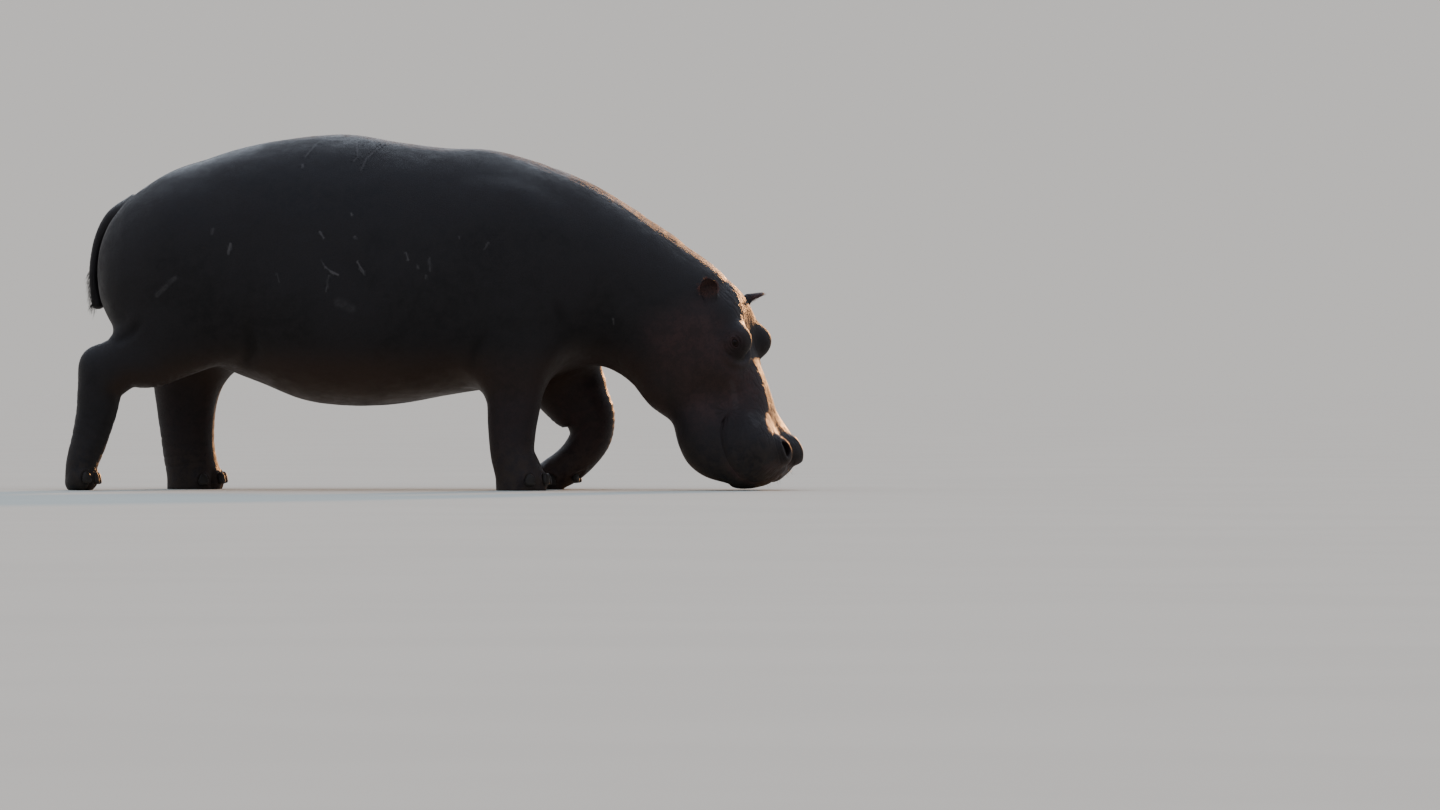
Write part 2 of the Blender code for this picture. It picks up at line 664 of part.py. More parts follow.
def build():
    clear_scene()
    pieces = {}
    rest = meshed(body_form, *BODY_BOX, CELL, FACES["body"])
    rest = combined(rest, side_block(FLOOR, -SIDEWAYS, SIDEWAYS, 0.0), "DIFFERENCE")
    for name in ("head", "neck", *LIMB_BLOCKS):
        pieces[name] = combined(rest, cutting_block(name), "INTERSECT")
        rest = combined(rest, cutting_block(name, GAP), "DIFFERENCE")
    pieces["trunk"] = rest
    for name in FOOT_BLOCKS:
        leg = name.replace("foot", "leg")
        pieces[name] = combined(pieces[leg], cutting_block(name), "INTERSECT")
        pieces[leg] = combined(pieces[leg], cutting_block(name, GAP), "DIFFERENCE")

    low, high = TAIL.low - TAIL_REACH, TAIL.high + TAIL_REACH
    tail = meshed(TAIL.distance, low, high, TAIL_CELL, FACES["tail"])
    pieces["tail"] = combined(tail, swollen(pieces["trunk"], GAP), "DIFFERENCE")
    for side, hand in (("right", RIGHT), ("left", LEFT)):
        root = from_head(*EARS[hand][0])
        low, high = root - EAR_REACH, root + EAR_REACH
        ear = meshed(ear_form(hand), low, high, EAR_CELL, FACES["ear"])
        pieces[f"ear_{side}"] = combined(ear, swollen(pieces["head"], GAP), "DIFFERENCE")
        middle, axes, front = eye_and_opening(hand)
        pieces[f"eye_{side}"] = ball(middle, (EYEBALL,) * 3, axes, *EYE_FACETS)
        socket = ball(middle, (EYEBALL + GAP * 2,) * 3, axes, *EYE_FACETS)
        opening = ball(front, LID_OPENING, axes, *EYE_FACETS)
        place = from_head(*NOSTRIL_PLACE, hand * NOSTRIL_ASIDE)
        nostril = ball(place, NOSTRIL, HEAD_AXES, *NOSTRIL_FACETS)
        for cutter in (socket, opening, nostril):
            pieces["head"] = combined(pieces["head"], cutter, "DIFFERENCE")
    for foot_name, foot in zip(FOOT_BLOCKS, FEET):
        for name, (place, axes) in nails_of(foot_name.replace("foot", ""), foot).items():
            pieces[name] = ball(place, NAIL, axes, *NAIL_FACETS)
            pocket = ball(place, np.array(NAIL) + GAP * 1.5, axes, *NAIL_FACETS)
            pieces[foot_name] = combined(pieces[foot_name], pocket, "DIFFERENCE")
    for name, mesh in pieces.items():
        look = EYE if name.startswith("eye") else HORN if name.startswith("toenail") else HIDE
        add_object(name, whole(mesh), look)


build()
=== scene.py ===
"""Looks for a life-size model of a common hippopotamus, still, in mid-step with its head down.

One bare skin stands for all the nodes of flesh. It grows from the same sections, limbs and lumps
as the solids, a little inside them, and is then split finer where lids, nostrils, ears, folds and
toes need it. Eyes, toenails and bristles are pieces of their own.
"""

from itertools import product
from math import cos, pi, radians, sin

import bmesh
import bpy
import numpy as np
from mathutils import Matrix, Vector


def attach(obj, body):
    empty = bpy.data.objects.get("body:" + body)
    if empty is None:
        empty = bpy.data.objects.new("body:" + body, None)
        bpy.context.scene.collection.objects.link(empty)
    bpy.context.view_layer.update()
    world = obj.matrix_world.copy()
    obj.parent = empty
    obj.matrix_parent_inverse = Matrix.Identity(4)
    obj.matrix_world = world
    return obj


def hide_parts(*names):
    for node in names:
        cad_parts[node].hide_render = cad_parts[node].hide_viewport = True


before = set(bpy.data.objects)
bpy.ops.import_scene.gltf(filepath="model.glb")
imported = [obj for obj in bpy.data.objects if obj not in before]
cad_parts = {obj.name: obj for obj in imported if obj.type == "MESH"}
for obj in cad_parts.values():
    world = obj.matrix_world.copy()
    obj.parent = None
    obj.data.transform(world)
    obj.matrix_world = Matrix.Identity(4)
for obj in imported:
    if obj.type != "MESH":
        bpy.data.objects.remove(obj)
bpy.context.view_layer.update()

# Sizes, in metres.
SKIN_DEPTH = 0.0015  # of the skin inside the solids' own form
CELL = 0.018  # of the first, coarse net
BLOCK = 4  # cells along the side of a block that is looked at whole
NET_LOW, NET_HIGH = np.array((-1.75, -0.65, -0.08)), np.array((1.75, 0.65, 1.65))
SOLE_LEVEL = 0.0008
SOLE_DEPTH = 0.006
RIGHT, LEFT = -1, 1
SIDES = {"right": RIGHT, "left": LEFT}

# ---------------------------------------------------------------- the animal's own measures

# Trunk and neck, in upright sections from the rump to the poll:
# x, back, belly, half width, squareness, how much wider it is low down
TRUNK = (
    (-1.280, 1.200, 0.700, 0.260, 2.2, 0.02),
    (-1.150, 1.328, 0.560, 0.390, 2.3, 0.04),
    (-0.950, 1.412, 0.530, 0.445, 2.3, 0.06),
    (-0.750, 1.468, 0.458, 0.485, 2.3, 0.09),
    (-0.550, 1.500, 0.380, 0.515, 2.3, 0.12),
    (-0.350, 1.508, 0.356, 0.525, 2.3, 0.13),
    (-0.150, 1.478, 0.366, 0.510, 2.3, 0.12),
    (0.050, 1.452, 0.400, 0.475, 2.3, 0.08),
    (0.250, 1.438, 0.430, 0.435, 2.2, 0.02),
    (0.450, 1.388, 0.460, 0.400, 2.2, 0.00),
    (0.650, 1.309, 0.525, 0.370, 2.2, 0.02),
    (0.850, 1.190, 0.500, 0.330, 2.2, 0.06),
    (1.000, 1.082, 0.535, 0.275, 2.2, 0.08),
    (1.140, 0.950, 0.590, 0.195, 2.2, 0.08),
    (1.240, 0.840, 0.640, 0.110, 2.2, 0.08),
)
TRUNK_CAPS = 0.050, 0.060  # how far the rounded ends reach past the first and last sections
# centre for the left side, radii, blend
MUSCLES = (
    ((-1.125, 0.150, 0.930), (0.298, 0.230, 0.355), 0.12),  # buttock, with the cleft between
    ((-1.030, 0.275, 0.860), (0.300, 0.155, 0.320), 0.14),  # haunch
    ((0.330, 0.280, 0.860), (0.240, 0.125, 0.330), 0.20),  # shoulder
)
NECK_TURN = ((-1.4, 0.0), (0.45, 0.0), (0.8, -0.012), (1.12, -0.045))  # x, sideways shift

# The head's frame: its origin is on the head's axis at the poll.
POLL = (1.108, -0.030, 0.872)
HEAD_PITCH = radians(64.0)  # muzzle below level
HEAD_TURN = radians(-12.5)  # to the animal's right
# along the head, top, bottom, half width, squareness, how much wider it is low down
HEAD = (
    (-0.170, -0.030, -0.170, 0.075, 2.2, 0.00),
    (-0.090, 0.048, -0.250, 0.150, 2.2, 0.00),
    (0.000, 0.106, -0.320, 0.200, 2.2, 0.05),
    (0.100, 0.126, -0.375, 0.230, 2.2, 0.10),
    (0.200, 0.130, -0.400, 0.245, 2.3, 0.12),
    (0.300, 0.112, -0.390, 0.235, 2.4, 0.16),
    (0.400, 0.102, -0.350, 0.210, 2.6, 0.24),
    (0.500, 0.096, -0.328, 0.196, 2.7, 0.26),
    (0.600, 0.080, -0.330, 0.210, 2.7, 0.18),
    (0.700, 0.053, -0.318, 0.238, 2.8, 0.06),
    (0.780, 0.037, -0.272, 0.245, 2.8, 0.02),
    (0.840, 0.023, -0.216, 0.232, 2.6, 0.02),
)
HEAD_CAPS = 0.040, 0.052


def smooth_table(stations, samples=220):
    """Smooth curves through the stations, sampled evenly along their first column."""
    table = np.array(stations, float)
    t = table[:, 0]
    slope = np.gradient(table, t, axis=0)
    at = np.linspace(t[0], t[-1], samples)
    i = np.clip(np.searchsorted(t, at, side="right") - 1, 0, len(t) - 2)
    span = (t[i + 1] - t[i])[:, None]
    u = (at[:, None] - t[i][:, None]) / span
    rise = u * u * (3 - 2 * u)
    start, end = u * (1 - u) ** 2 * span, u * u * (u - 1) * span
    return table[i] * (1 - rise) + table[i + 1] * rise + slope[i] * start + slope[i + 1] * end


def section_loft(along, side, up, table, caps):
    """Signed distance to a form given by upright sections along one straight axis."""
    top, bottom, wide, power, sag = (
        np.interp(along, table[:, 0], column) for column in table.T[1:]
    )
    half = (top - bottom) / 2
    height = up - (top + bottom) / 2
    level = height / half
    before, after = table[0, 0] - along, along - table[-1, 0]
    cap = np.where(before > 0, *caps)
    over = np.maximum(np.maximum(before, after), 0)
    across = np.abs(side) / (wide * (1 - sag * np.clip(level, -1, 1)))
    ring = (np.abs(level) ** power + across**power) ** (1 / power)
    size = np.sqrt(ring**2 + (over / cap) ** 2)
    reach = np.sqrt(height**2 + side**2 + over**2)
    return reach * (1 - 1 / np.maximum(size, 1e-6))


def ellipsoid(points, centre, radii, turn=None):
    """Signed distance, near enough, to an ellipsoid; turn is its 3x3 matrix of axes in rows."""
    p = points - np.array(centre)
    if turn is not None:
        p = p @ np.array(turn).T
    scaled = p / np.array(radii)
    size = np.sqrt((scaled**2).sum(1))
    steep = np.sqrt(((scaled / np.array(radii)) ** 2).sum(1))
    return size * (size - 1) / np.maximum(steep, 1e-9)


def blend(a, b, width):
    """Union of two distances, filleted over the given width."""
    mix = np.maximum(width - np.abs(a - b), 0) / width
    return np.minimum(a, b) - mix * mix * width / 4


def carve(a, b, width):
    """The form a with b taken out of it, its edge rounded over the given width."""
    return -blend(-a, b, width)


class Tube:
    """A limb: elliptic sections along a bent centre line.

    Each station is x, y, z, half size fore and aft, half size sideways and squareness.
    """

    def __init__(self, stations, side=(0, 1, 0), cap=0.05, samples=56):
        table = np.array(stations, float)
        steps = np.linalg.norm(np.diff(table[:, :3], axis=0), axis=1)
        length = np.concatenate([[0], np.cumsum(steps)])
        smooth = smooth_table(np.column_stack([length, table]), samples)
        self.centres = smooth[:, 1:4]
        self.sizes = smooth[:, 4:7]
        run = np.gradient(self.centres, axis=0)
        self.pitch = np.linalg.norm(run, axis=1)
        self.run = run / self.pitch[:, None]
        across = np.array(side) - self.run * (self.run @ np.array(side))[:, None]
        self.side = across / np.linalg.norm(across, axis=1)[:, None]
        self.fore = np.cross(self.side, self.run)
        self.cap = cap
        reach = self.sizes[:, :2].max(1)[:, None] + cap
        self.low = (self.centres - reach).min(0)
        self.high = (self.centres + reach).max(0)

    def distance(self, points):
        squares = (self.centres**2).sum(1)[None] - 2 * points @ self.centres.T
        i = squares.argmin(1)
        offset = points - self.centres[i]
        step = (offset * self.run[i]).sum(1) / self.pitch[i]
        place = i + np.clip(step, -0.5, 0.5)
        last = len(self.centres) - 1
        over = np.where(i == 0, -step, np.where(i == last, step, 0)) * self.pitch[i]
        over = np.maximum(over, 0)
        place = np.clip(place, 0, last)

        def at(values):
            return np.column_stack([
                np.interp(place, np.arange(last + 1), column) for column in values.T
            ])

        offset = points - at(self.centres)
        fore = (offset * at(self.fore)).sum(1)
        side = (offset * at(self.side)).sum(1)
        thick, wide, power = at(self.sizes).T
        ring = (np.abs(fore / thick) ** power + np.abs(side / wide) ** power) ** (1 / power)
        size = np.sqrt(ring**2 + (over / self.cap) ** 2)
        reach = np.sqrt(fore**2 + side**2 + over**2)
        return reach * (1 - 1 / np.maximum(size, 1e-6))


# Legs, from inside the trunk down to the sole. The right foreleg and the left hind leg carry
# the weight; the left foreleg is folded at the wrist and the right hind leg trails on its toes.
FORE_RIGHT = Tube((
    (0.300, -0.180, 0.900, 0.200, 0.150, 2.2),
    (0.330, -0.235, 0.700, 0.185, 0.155, 2.2),
    (0.352, -0.262, 0.520, 0.143, 0.135, 2.2),
    (0.357, -0.270, 0.400, 0.120, 0.115, 2.2),
    (0.348, -0.272, 0.250, 0.103, 0.100, 2.2),
    (0.351, -0.274, 0.150, 0.095, 0.100, 2.2),
    (0.380, -0.278, 0.060, 0.103, 0.112, 2.3),
    (0.387, -0.280, 0.000, 0.107, 0.118, 2.3),
))
FORE_LEFT = Tube((
    (0.400, 0.180, 0.850, 0.200, 0.150, 2.2),
    (0.455, 0.235, 0.660, 0.190, 0.155, 2.2),
    (0.519, 0.262, 0.494, 0.172, 0.135, 2.2),
    (0.587, 0.272, 0.381, 0.144, 0.115, 2.2),
    (0.640, 0.276, 0.297, 0.108, 0.102, 2.2),
    (0.640, 0.278, 0.225, 0.092, 0.100, 2.2),
    (0.594, 0.280, 0.149, 0.081, 0.104, 2.2),
    (0.534, 0.280, 0.094, 0.077, 0.110, 2.2),
    (0.473, 0.280, 0.058, 0.071, 0.114, 2.2),
    (0.438, 0.280, 0.032, 0.068, 0.114, 2.2),
    (0.428, 0.280, 0.004, 0.064, 0.114, 2.2),
))
HIND_RIGHT = Tube((
    (-1.000, -0.180, 0.930, 0.250, 0.160, 2.2),
    (-1.050, -0.240, 0.740, 0.225, 0.165, 2.2),
    (-1.180, -0.262, 0.590, 0.160, 0.140, 2.2),
    (-1.320, -0.270, 0.525, 0.112, 0.112, 2.2),
    (-1.390, -0.272, 0.450, 0.098, 0.098, 2.2),
    (-1.414, -0.274, 0.330, 0.086, 0.092, 2.2),
    (-1.444, -0.276, 0.210, 0.076, 0.096, 2.2),
    (-1.475, -0.278, 0.110, 0.067, 0.106, 2.2),
    (-1.487, -0.280, 0.030, 0.059, 0.108, 2.2),
))
HIND_LEFT = Tube((
    (-1.000, 0.180, 0.950, 0.270, 0.160, 2.2),
    (-1.030, 0.240, 0.760, 0.250, 0.165, 2.2),
    (-1.065, 0.262, 0.580, 0.195, 0.145, 2.2),
    (-1.090, 0.270, 0.420, 0.145, 0.120, 2.2),
    (-1.090, 0.272, 0.280, 0.122, 0.108, 2.2),
    (-1.080, 0.275, 0.150, 0.114, 0.110, 2.2),
    (-1.063, 0.278, 0.060, 0.116, 0.118, 2.3),
    (-1.058, 0.280, 0.000, 0.120, 0.124, 2.3),
))
LEGS = ((FORE_RIGHT, 0.13), (FORE_LEFT, 0.10), (HIND_RIGHT, 0.07), (HIND_LEFT, 0.09))  # blend

TAIL = Tube((
    (-1.270, 0.0, 1.200, 0.060, 0.085, 2.2),
    (-1.370, 0.0, 1.150, 0.042, 0.070, 2.2),
    (-1.425, 0.0, 1.070, 0.030, 0.056, 2.2),
    (-1.450, 0.0, 0.970, 0.025, 0.050, 2.2),
    (-1.452, 0.0, 0.870, 0.025, 0.048, 2.2),
    (-1.438, 0.0, 0.790, 0.031, 0.046, 2.2),
), cap=0.025)


# The toes: their radii, how far in from the foot's edge they sit, and their angles round it.
TOE = (0.040, 0.036, 0.036)
TOE_INSET = 0.022
TOE_ANGLES = (-66, -23, 23, 66)


def toes(leg, back):
    """Toe centre and outward direction by toe number, counted from the animal's right.

    They lie round the section that is so many samples back from the end of the leg.
    """
    end = len(leg.centres) - 1 - back
    thick, wide = leg.sizes[end, :2] - TOE_INSET
    found = {}
    for number, angle in enumerate(TOE_ANGLES, 1):
        ahead, aside = cos(radians(angle)), sin(radians(angle))
        spot = leg.centres[end] - leg.fore[end] * ahead * thick + leg.side[end] * aside * wide
        outward = -leg.fore[end] * ahead * wide + leg.side[end] * aside * thick
        found[number] = (spot, outward / np.linalg.norm(outward))
    return found


FEET = {
    "fore_right": toes(FORE_RIGHT, 2),
    "fore_left": toes(FORE_LEFT, 2),
    "hind_right": toes(HIND_RIGHT, 1),
    "hind_left": toes(HIND_LEFT, 2),
}


def head_axes():
    """Rows: along the head to the muzzle, out of its forehead, and to the animal's left."""
    p, t = HEAD_PITCH, HEAD_TURN
    along = (cos(p) * cos(t), cos(p) * sin(t), -sin(p))
    upward = (sin(p) * cos(t), sin(p) * sin(t), cos(p))
    left = (-sin(t), cos(t), 0)
    return np.array([along, upward, left])


HEAD_AXES = head_axes()


def in_head(points):
    return (points - np.array(POLL)) @ HEAD_AXES.T


def from_head(along, upward, left):
    return np.array(POLL) + np.array([along, upward, left]) @ HEAD_AXES


# Ears, in the head's frame: root, tip and the way the cup opens. They are turned unevenly.
EARS = {
    RIGHT: ((0.114, 0.068, -0.152), (0.031, 0.113, -0.224), (0.50, 0.15, -0.80)),
    LEFT: ((0.148, 0.095, 0.150), (0.136, 0.192, 0.240), (0.94, -0.02, 0.30)),
}

TRUNK_TABLE = smooth_table(TRUNK)
HEAD_TABLE = smooth_table(HEAD)
TURN_TABLE = smooth_table(NECK_TURN, 60)

# Lumps of the head: centre (along, up, left) for the left side, radii, blend
HEAD_LUMPS = (
    ((0.220, -0.160, 0.150), (0.180, 0.190, 0.110), 0.10),  # cheek muscle
    ((0.345, -0.268, 0.130), (0.115, 0.100, 0.090), 0.07),  # angle of the jaw
    ((0.318, 0.094, 0.156), (0.066, 0.068, 0.062), 0.032),  # eye mound
    ((0.225, 0.078, 0.118), (0.110, 0.056, 0.064), 0.07),  # brow behind the eye
    ((0.350, -0.010, 0.135), (0.120, 0.070, 0.070), 0.08),  # cheekbone below the eye
    ((0.812, 0.046, 0.088), (0.058, 0.046, 0.060), 0.036),  # nostril
    ((0.745, -0.050, 0.140), (0.120, 0.105, 0.115), 0.08),  # upper lip pad
    ((0.640, -0.215, 0.130), (0.130, 0.095, 0.090), 0.08),  # tusk swelling of the jaw
)
MUZZLE_END = (0.785, -0.045, 0), (0.100, 0.080, 0.120), 0.05
HOCK = (-1.411, -0.272, 0.525), (0.077, 0.070, 0.085), 0.05  # of the trailing leg, in x, y, z
NECK_BLEND, TOE_BLEND, SOLE_EDGE = 0.12, 0.03, 0.008
TOE_REACH = 0.12  # the foot is as it was this far from a toe


def grown(d, points, centre, radii, width):
    """The form d with an ellipsoid blended on."""
    return blend(d, ellipsoid(points, centre, radii), width)


def trunk_form(points):
    x = points[:, 0]
    side = points[:, 1] - np.interp(x, TURN_TABLE[:, 0], TURN_TABLE[:, 1])
    d = section_loft(x, side, points[:, 2], TRUNK_TABLE, TRUNK_CAPS)
    for hand, ((ahead, left, up), radii, width) in product(SIDES.values(), MUSCLES):
        d = grown(d, points, (ahead, hand * left, up), radii, width)
    return d


def head_form(points):
    """The head without its ears: loft, brow, eye mounds, nostrils, lips, cheeks and jaw."""
    p = in_head(points)
    d = section_loft(p[:, 0], p[:, 2], p[:, 1], HEAD_TABLE, HEAD_CAPS)
    for hand, ((along, up, left), radii, width) in product(SIDES.values(), HEAD_LUMPS):
        d = grown(d, p, (along, up, hand * left), radii, width)
    return grown(d, p, *MUZZLE_END)


def body_form(points):
    """The whole flesh but for ears and tail, standing on Z = 0."""
    d = blend(trunk_form(points), head_form(points), NECK_BLEND)
    for leg, width in LEGS:
        near = ((points > leg.low - width) & (points < leg.high + width)).all(1)
        d[near] = blend(d[near], leg.distance(points[near]), width)
    d = grown(d, points, *HOCK)
    for foot in FEET.values():
        for centre, _ in foot.values():
            near = (np.abs(points - centre) < TOE_REACH).all(1)
            d[near] = grown(d[near], points[near], centre, TOE, TOE_BLEND)
    return carve(d, points[:, 2] + SOLE_DEPTH, SOLE_EDGE)


# ---------------------------------------------------------------- small helpers


def ramp(value, start, end):
    """From 0 at start to 1 at end, eased at both."""
    t = np.clip((value - start) / (end - start), 0, 1)
    return t * t * (3 - 2 * t)


def band(value, rise, fall):
    """1 between two slopes and 0 beyond them. Each slope is given by its two ends."""
    return ramp(value, *rise) * (1 - ramp(value, *fall))


def hump(value, middle, width):
    return np.exp(-(((value - middle) / width) ** 2))


def noise(points, size, seed=0):
    """Smooth lattice noise from -1 to 1, with lumps about so big."""
    p = points / np.array(size) + seed * 7.31
    cell = np.floor(p).astype(np.int64)
    t = p - cell
    t = t * t * (3 - 2 * t)
    total = np.zeros(len(points))
    for corner in product((0, 1), repeat=3):
        at = cell + corner
        mixed = at[:, 0] * 374761393 + at[:, 1] * 668265263 + at[:, 2] * 2147483647 + seed * 974711
        mixed = (mixed ^ (mixed >> 13)) * 1274126177
        value = ((mixed ^ (mixed >> 16)) & 65535) / 32767.5 - 1
        total += value * np.prod(np.where(corner, t, 1 - t), 1)
    return total


def wrinkles(points, size, seed):
    """Depth of fine branching wrinkles, from 0 to 1."""
    return (1 - np.abs(noise(points, size, seed))) ** 4


def pleats(phase, sharp=2):
    """Depth of the grooves between rounded pleats, from 0 to 1, one groove for each unit."""
    return (1 - np.abs(np.sin(pi * phase))) ** sharp


def to_segment(points, start, end):
    """Distance to a segment, and how far along it, for points of two or three coordinates."""
    start, run = np.array(start, float), np.array(end, float) - start
    t = np.clip((points - start) @ run / max(run @ run, 1e-12), 0, 1)
    return np.linalg.norm(points - start - t[:, None] * run, axis=1), t


def unit(vector):
    vector = np.array(vector, float)
    return vector / np.linalg.norm(vector)


def local(points, centre, axes):
    return (points - centre) @ axes.T


def away_from(points, centre):
    return np.linalg.norm(points - centre, axis=1)


def oval(p, radii):
    """How far out each point is, where 1 is on the oval's edge."""
    return np.sqrt((p[:, 0] / radii[0]) ** 2 + (p[:, 1] / radii[1]) ** 2)


# ---------------------------------------------------------------- the skin's own form

# As shares of an ear's length: where its middle is, and half the height of its cup
EAR_MIDDLE, EAR_REACH = 0.55, 0.46
EAR_WIDE, EAR_THICK = 0.038, 0.027  # half width and half thickness before an ear is cupped
EAR_STALK = 0.050, 0.034, 0.026
STALK_BLEND, EAR_BLEND, TAIL_BLEND = 0.02, 0.012, 0.035


def ear_frame(hand):
    """An ear's root, its middle, its axes (up the ear, across, out of the cup) and its length."""
    root, tip, opening = EARS[hand]
    root, tip = from_head(*root), from_head(*tip)
    length = np.linalg.norm(tip - root)
    along = (tip - root) / length
    facing = np.array(opening) @ HEAD_AXES
    facing = unit(facing - along * (facing @ along))
    axes = np.array([along, np.cross(facing, along), facing])
    return root, root + along * EAR_MIDDLE * length, axes, length


EAR_FRAMES = {hand: ear_frame(hand) for hand in SIDES.values()}


def ear_half(length):
    """Half height, half width and half thickness of an ear."""
    return EAR_REACH * length, EAR_WIDE, EAR_THICK


def ear_taper(up):
    """How many times thinner an ear is at a height up it, where 1 is its tip."""
    return 1 + 0.8 * np.clip(up, -0.3, 1)


def hide_form(points):
    """The flesh with its ears and tail grown on, drawn in by the skin's depth."""
    d = body_form(points)
    for root, middle, axes, length in EAR_FRAMES.values():
        half = ear_half(length)
        near = (np.abs(points - middle) < length).all(1)
        e = local(points[near], middle, axes)
        e[:, 2] *= ear_taper(e[:, 0] / half[0])
        stalk = ellipsoid(points[near], root, EAR_STALK, axes)
        ear = blend(ellipsoid(e, (0, 0, 0), half), stalk, STALK_BLEND)
        d[near] = blend(d[near], ear, EAR_BLEND)
    near = ((points > TAIL.low - 0.05) & (points < TAIL.high + 0.05)).all(1)
    d[near] = blend(d[near], TAIL.distance(points[near]), TAIL_BLEND)
    return d + SKIN_DEPTH


def by_parts(form, points, size=60000):
    return np.concatenate([form(points[i:i + size]) for i in range(0, len(points), size)])


def sampled(form, low, counts):
    """The form's distance at every node of a grid, worked out in full only near its surface."""
    blocks = -(-counts // BLOCK)
    at = np.stack(np.meshgrid(*[np.arange(n) for n in blocks], indexing="ij"), -1).reshape(-1, 3)
    rough = by_parts(form, low + CELL * (at * BLOCK + (BLOCK - 1) / 2))
    full = rough.reshape(blocks)
    for axis in range(3):
        full = full.repeat(BLOCK, axis)
    near = at[np.abs(rough) < BLOCK * CELL * 1.7]
    step = np.stack(np.meshgrid(*[np.arange(BLOCK)] * 3, indexing="ij"), -1).reshape(1, -1, 3)
    nodes = (near[:, None] * BLOCK + step).reshape(-1, 3)
    full[tuple(nodes.T)] = by_parts(form, low + CELL * nodes)
    return full[tuple(slice(0, n) for n in counts)]


def surface_net(values, low):
    """Vertices and quads where the distance changes sign on the grid (a surface net)."""

    def pair(grid, axis, rest):
        """The grid's values at both ends of every cell edge along an axis."""
        ends = [[rest] * 3, [rest] * 3]
        ends[0][axis], ends[1][axis] = slice(0, -1), slice(1, None)
        return [grid[tuple(end)] for end in ends]

    total = np.zeros(tuple(n - 1 for n in values.shape) + (3,))
    crossings = np.zeros(total.shape[:3])
    for axis in range(3):
        a, b = pair(values, axis, slice(None))
        cross = (a < 0) != (b < 0)
        share = np.where(cross, a / np.where(cross, a - b, 1), 0)
        others = [k for k in range(3) if k != axis]
        for u, v in product((0, 1), repeat=2):
            cut = [slice(None)] * 3
            cut[others[0]], cut[others[1]] = slice(u, u - 1 or None), slice(v, v - 1 or None)
            here = cross[tuple(cut)]
            point = np.zeros(here.shape + (3,))
            point[..., axis] = share[tuple(cut)]
            point[..., others[0]], point[..., others[1]] = u, v
            total += point * here[..., None]
            crossings += here
    used = crossings > 0
    number = np.full(used.shape, -1)
    number[used] = np.arange(used.sum())
    vertices = low + CELL * (np.argwhere(used) + total[used] / crossings[used][:, None])
    quads = []
    for axis in range(3):
        a, b = pair(values < 0, axis, slice(1, -1))
        at = np.argwhere(a != b)
        ring = []
        for u, v in ((0, 0), (1, 0), (1, 1), (0, 1)):
            step = np.zeros(3, int)
            step[(axis + 1) % 3], step[(axis + 2) % 3] = u, v
            ring.append(number[tuple((at + step).T)])
        quad = np.column_stack(ring)
        flip = b[tuple(at.T)]
        quad[flip] = quad[flip][:, ::-1]
        quads.append(quad)
    return vertices, np.concatenate(quads)


def edge_keys(quads):
    """One number for each edge of each quad, the same for both quads that share it."""
    ends = np.stack([quads, np.roll(quads, -1, axis=1)], -1)
    return (ends.min(-1).astype(np.int64) << 32) + ends.max(-1)


class Net:
    """Quads that are split where more detail is wanted. Neighbours share the points of an edge."""

    def __init__(self, vertices, quads):
        self.vertices, self.quads = vertices, quads
        self.left_coarse = []
        self.split_edges, self.midpoints = [], []

    def split(self, chosen):
        """Splits the chosen ones of the finest quads in four."""
        quads = self.quads[chosen]
        self.left_coarse.append(self.quads[~chosen])
        edges, place = np.unique(edge_keys(quads), return_inverse=True)
        count = len(self.vertices)
        middles = count + np.arange(len(edges))
        centres = count + len(edges) + np.arange(len(quads))
        at = self.vertices
        self.vertices = np.concatenate([
            at, (at[edges >> 32] + at[edges & 0xFFFFFFFF]) / 2, at[quads].mean(1)
        ])
        m = middles[place.reshape(quads.shape)]
        self.quads = np.concatenate([
            np.column_stack([quads[:, i], m[:, i], centres, m[:, i - 1]]) for i in range(4)
        ])
        self.split_edges.append(edges)
        self.midpoints.append(middles)

    def middles(self):
        return self.vertices[self.quads].mean(1)

    def faces(self):
        """The quads, and the faces of more corners that lie beside finer ones."""
        edges = np.concatenate(self.split_edges)
        lookup = dict(zip(edges.tolist(), np.concatenate(self.midpoints).tolist()))

        def walk(a, b):
            middle = lookup.get((min(a, b) << 32) + max(a, b))
            return [a] if middle is None else walk(a, middle) + walk(middle, b)

        plain, mixed = [self.quads], []
        for quads in self.left_coarse:
            touched = np.isin(edge_keys(quads), edges).any(1)
            plain.append(quads[~touched])
            for quad in quads[touched].tolist():
                mixed.append(sum((walk(quad[i], quad[(i + 1) % 4]) for i in range(4)), []))
        return np.concatenate(plain), mixed

    def evened(self, rounds, pull=0.6):
        """Draws each vertex towards the middle of its neighbours."""
        for _ in range(rounds):
            total, count = np.zeros_like(self.vertices), np.zeros(len(self.vertices))
            for i in (1, 3):
                a, b = self.quads.ravel(), np.roll(self.quads, i, axis=1).ravel()
                for k in range(3):
                    total[:, k] += np.bincount(a, self.vertices[b, k], len(count))
                count += np.bincount(a, minlength=len(count))
            self.vertices += pull * (total / count[:, None] - self.vertices)

    def settled(self, form, rounds, step=0.002, least_slope=0.05):
        """Moves the vertices onto the form, along its gradient."""
        for _ in range(rounds):
            here = by_parts(form, self.vertices)
            slope = np.column_stack([
                by_parts(form, self.vertices + step * np.eye(3)[k]) - here for k in range(3)
            ]) / step
            steep = np.maximum((slope**2).sum(1), least_slope)
            self.vertices = self.vertices - slope * (here / steep)[:, None]


def normals_of(vertices, quads):
    """Mean normal of the faces round each vertex."""
    corner = vertices[quads]
    face = np.cross(corner[:, 2] - corner[:, 0], corner[:, 3] - corner[:, 1])
    total = np.column_stack([
        sum(np.bincount(quads[:, i], face[:, k], len(vertices)) for i in range(4))
        for k in range(3)
    ])
    return total / np.maximum(np.linalg.norm(total, axis=1), 1e-12)[:, None]


# ---------------------------------------------------------------- folds, lids, nostrils and toes

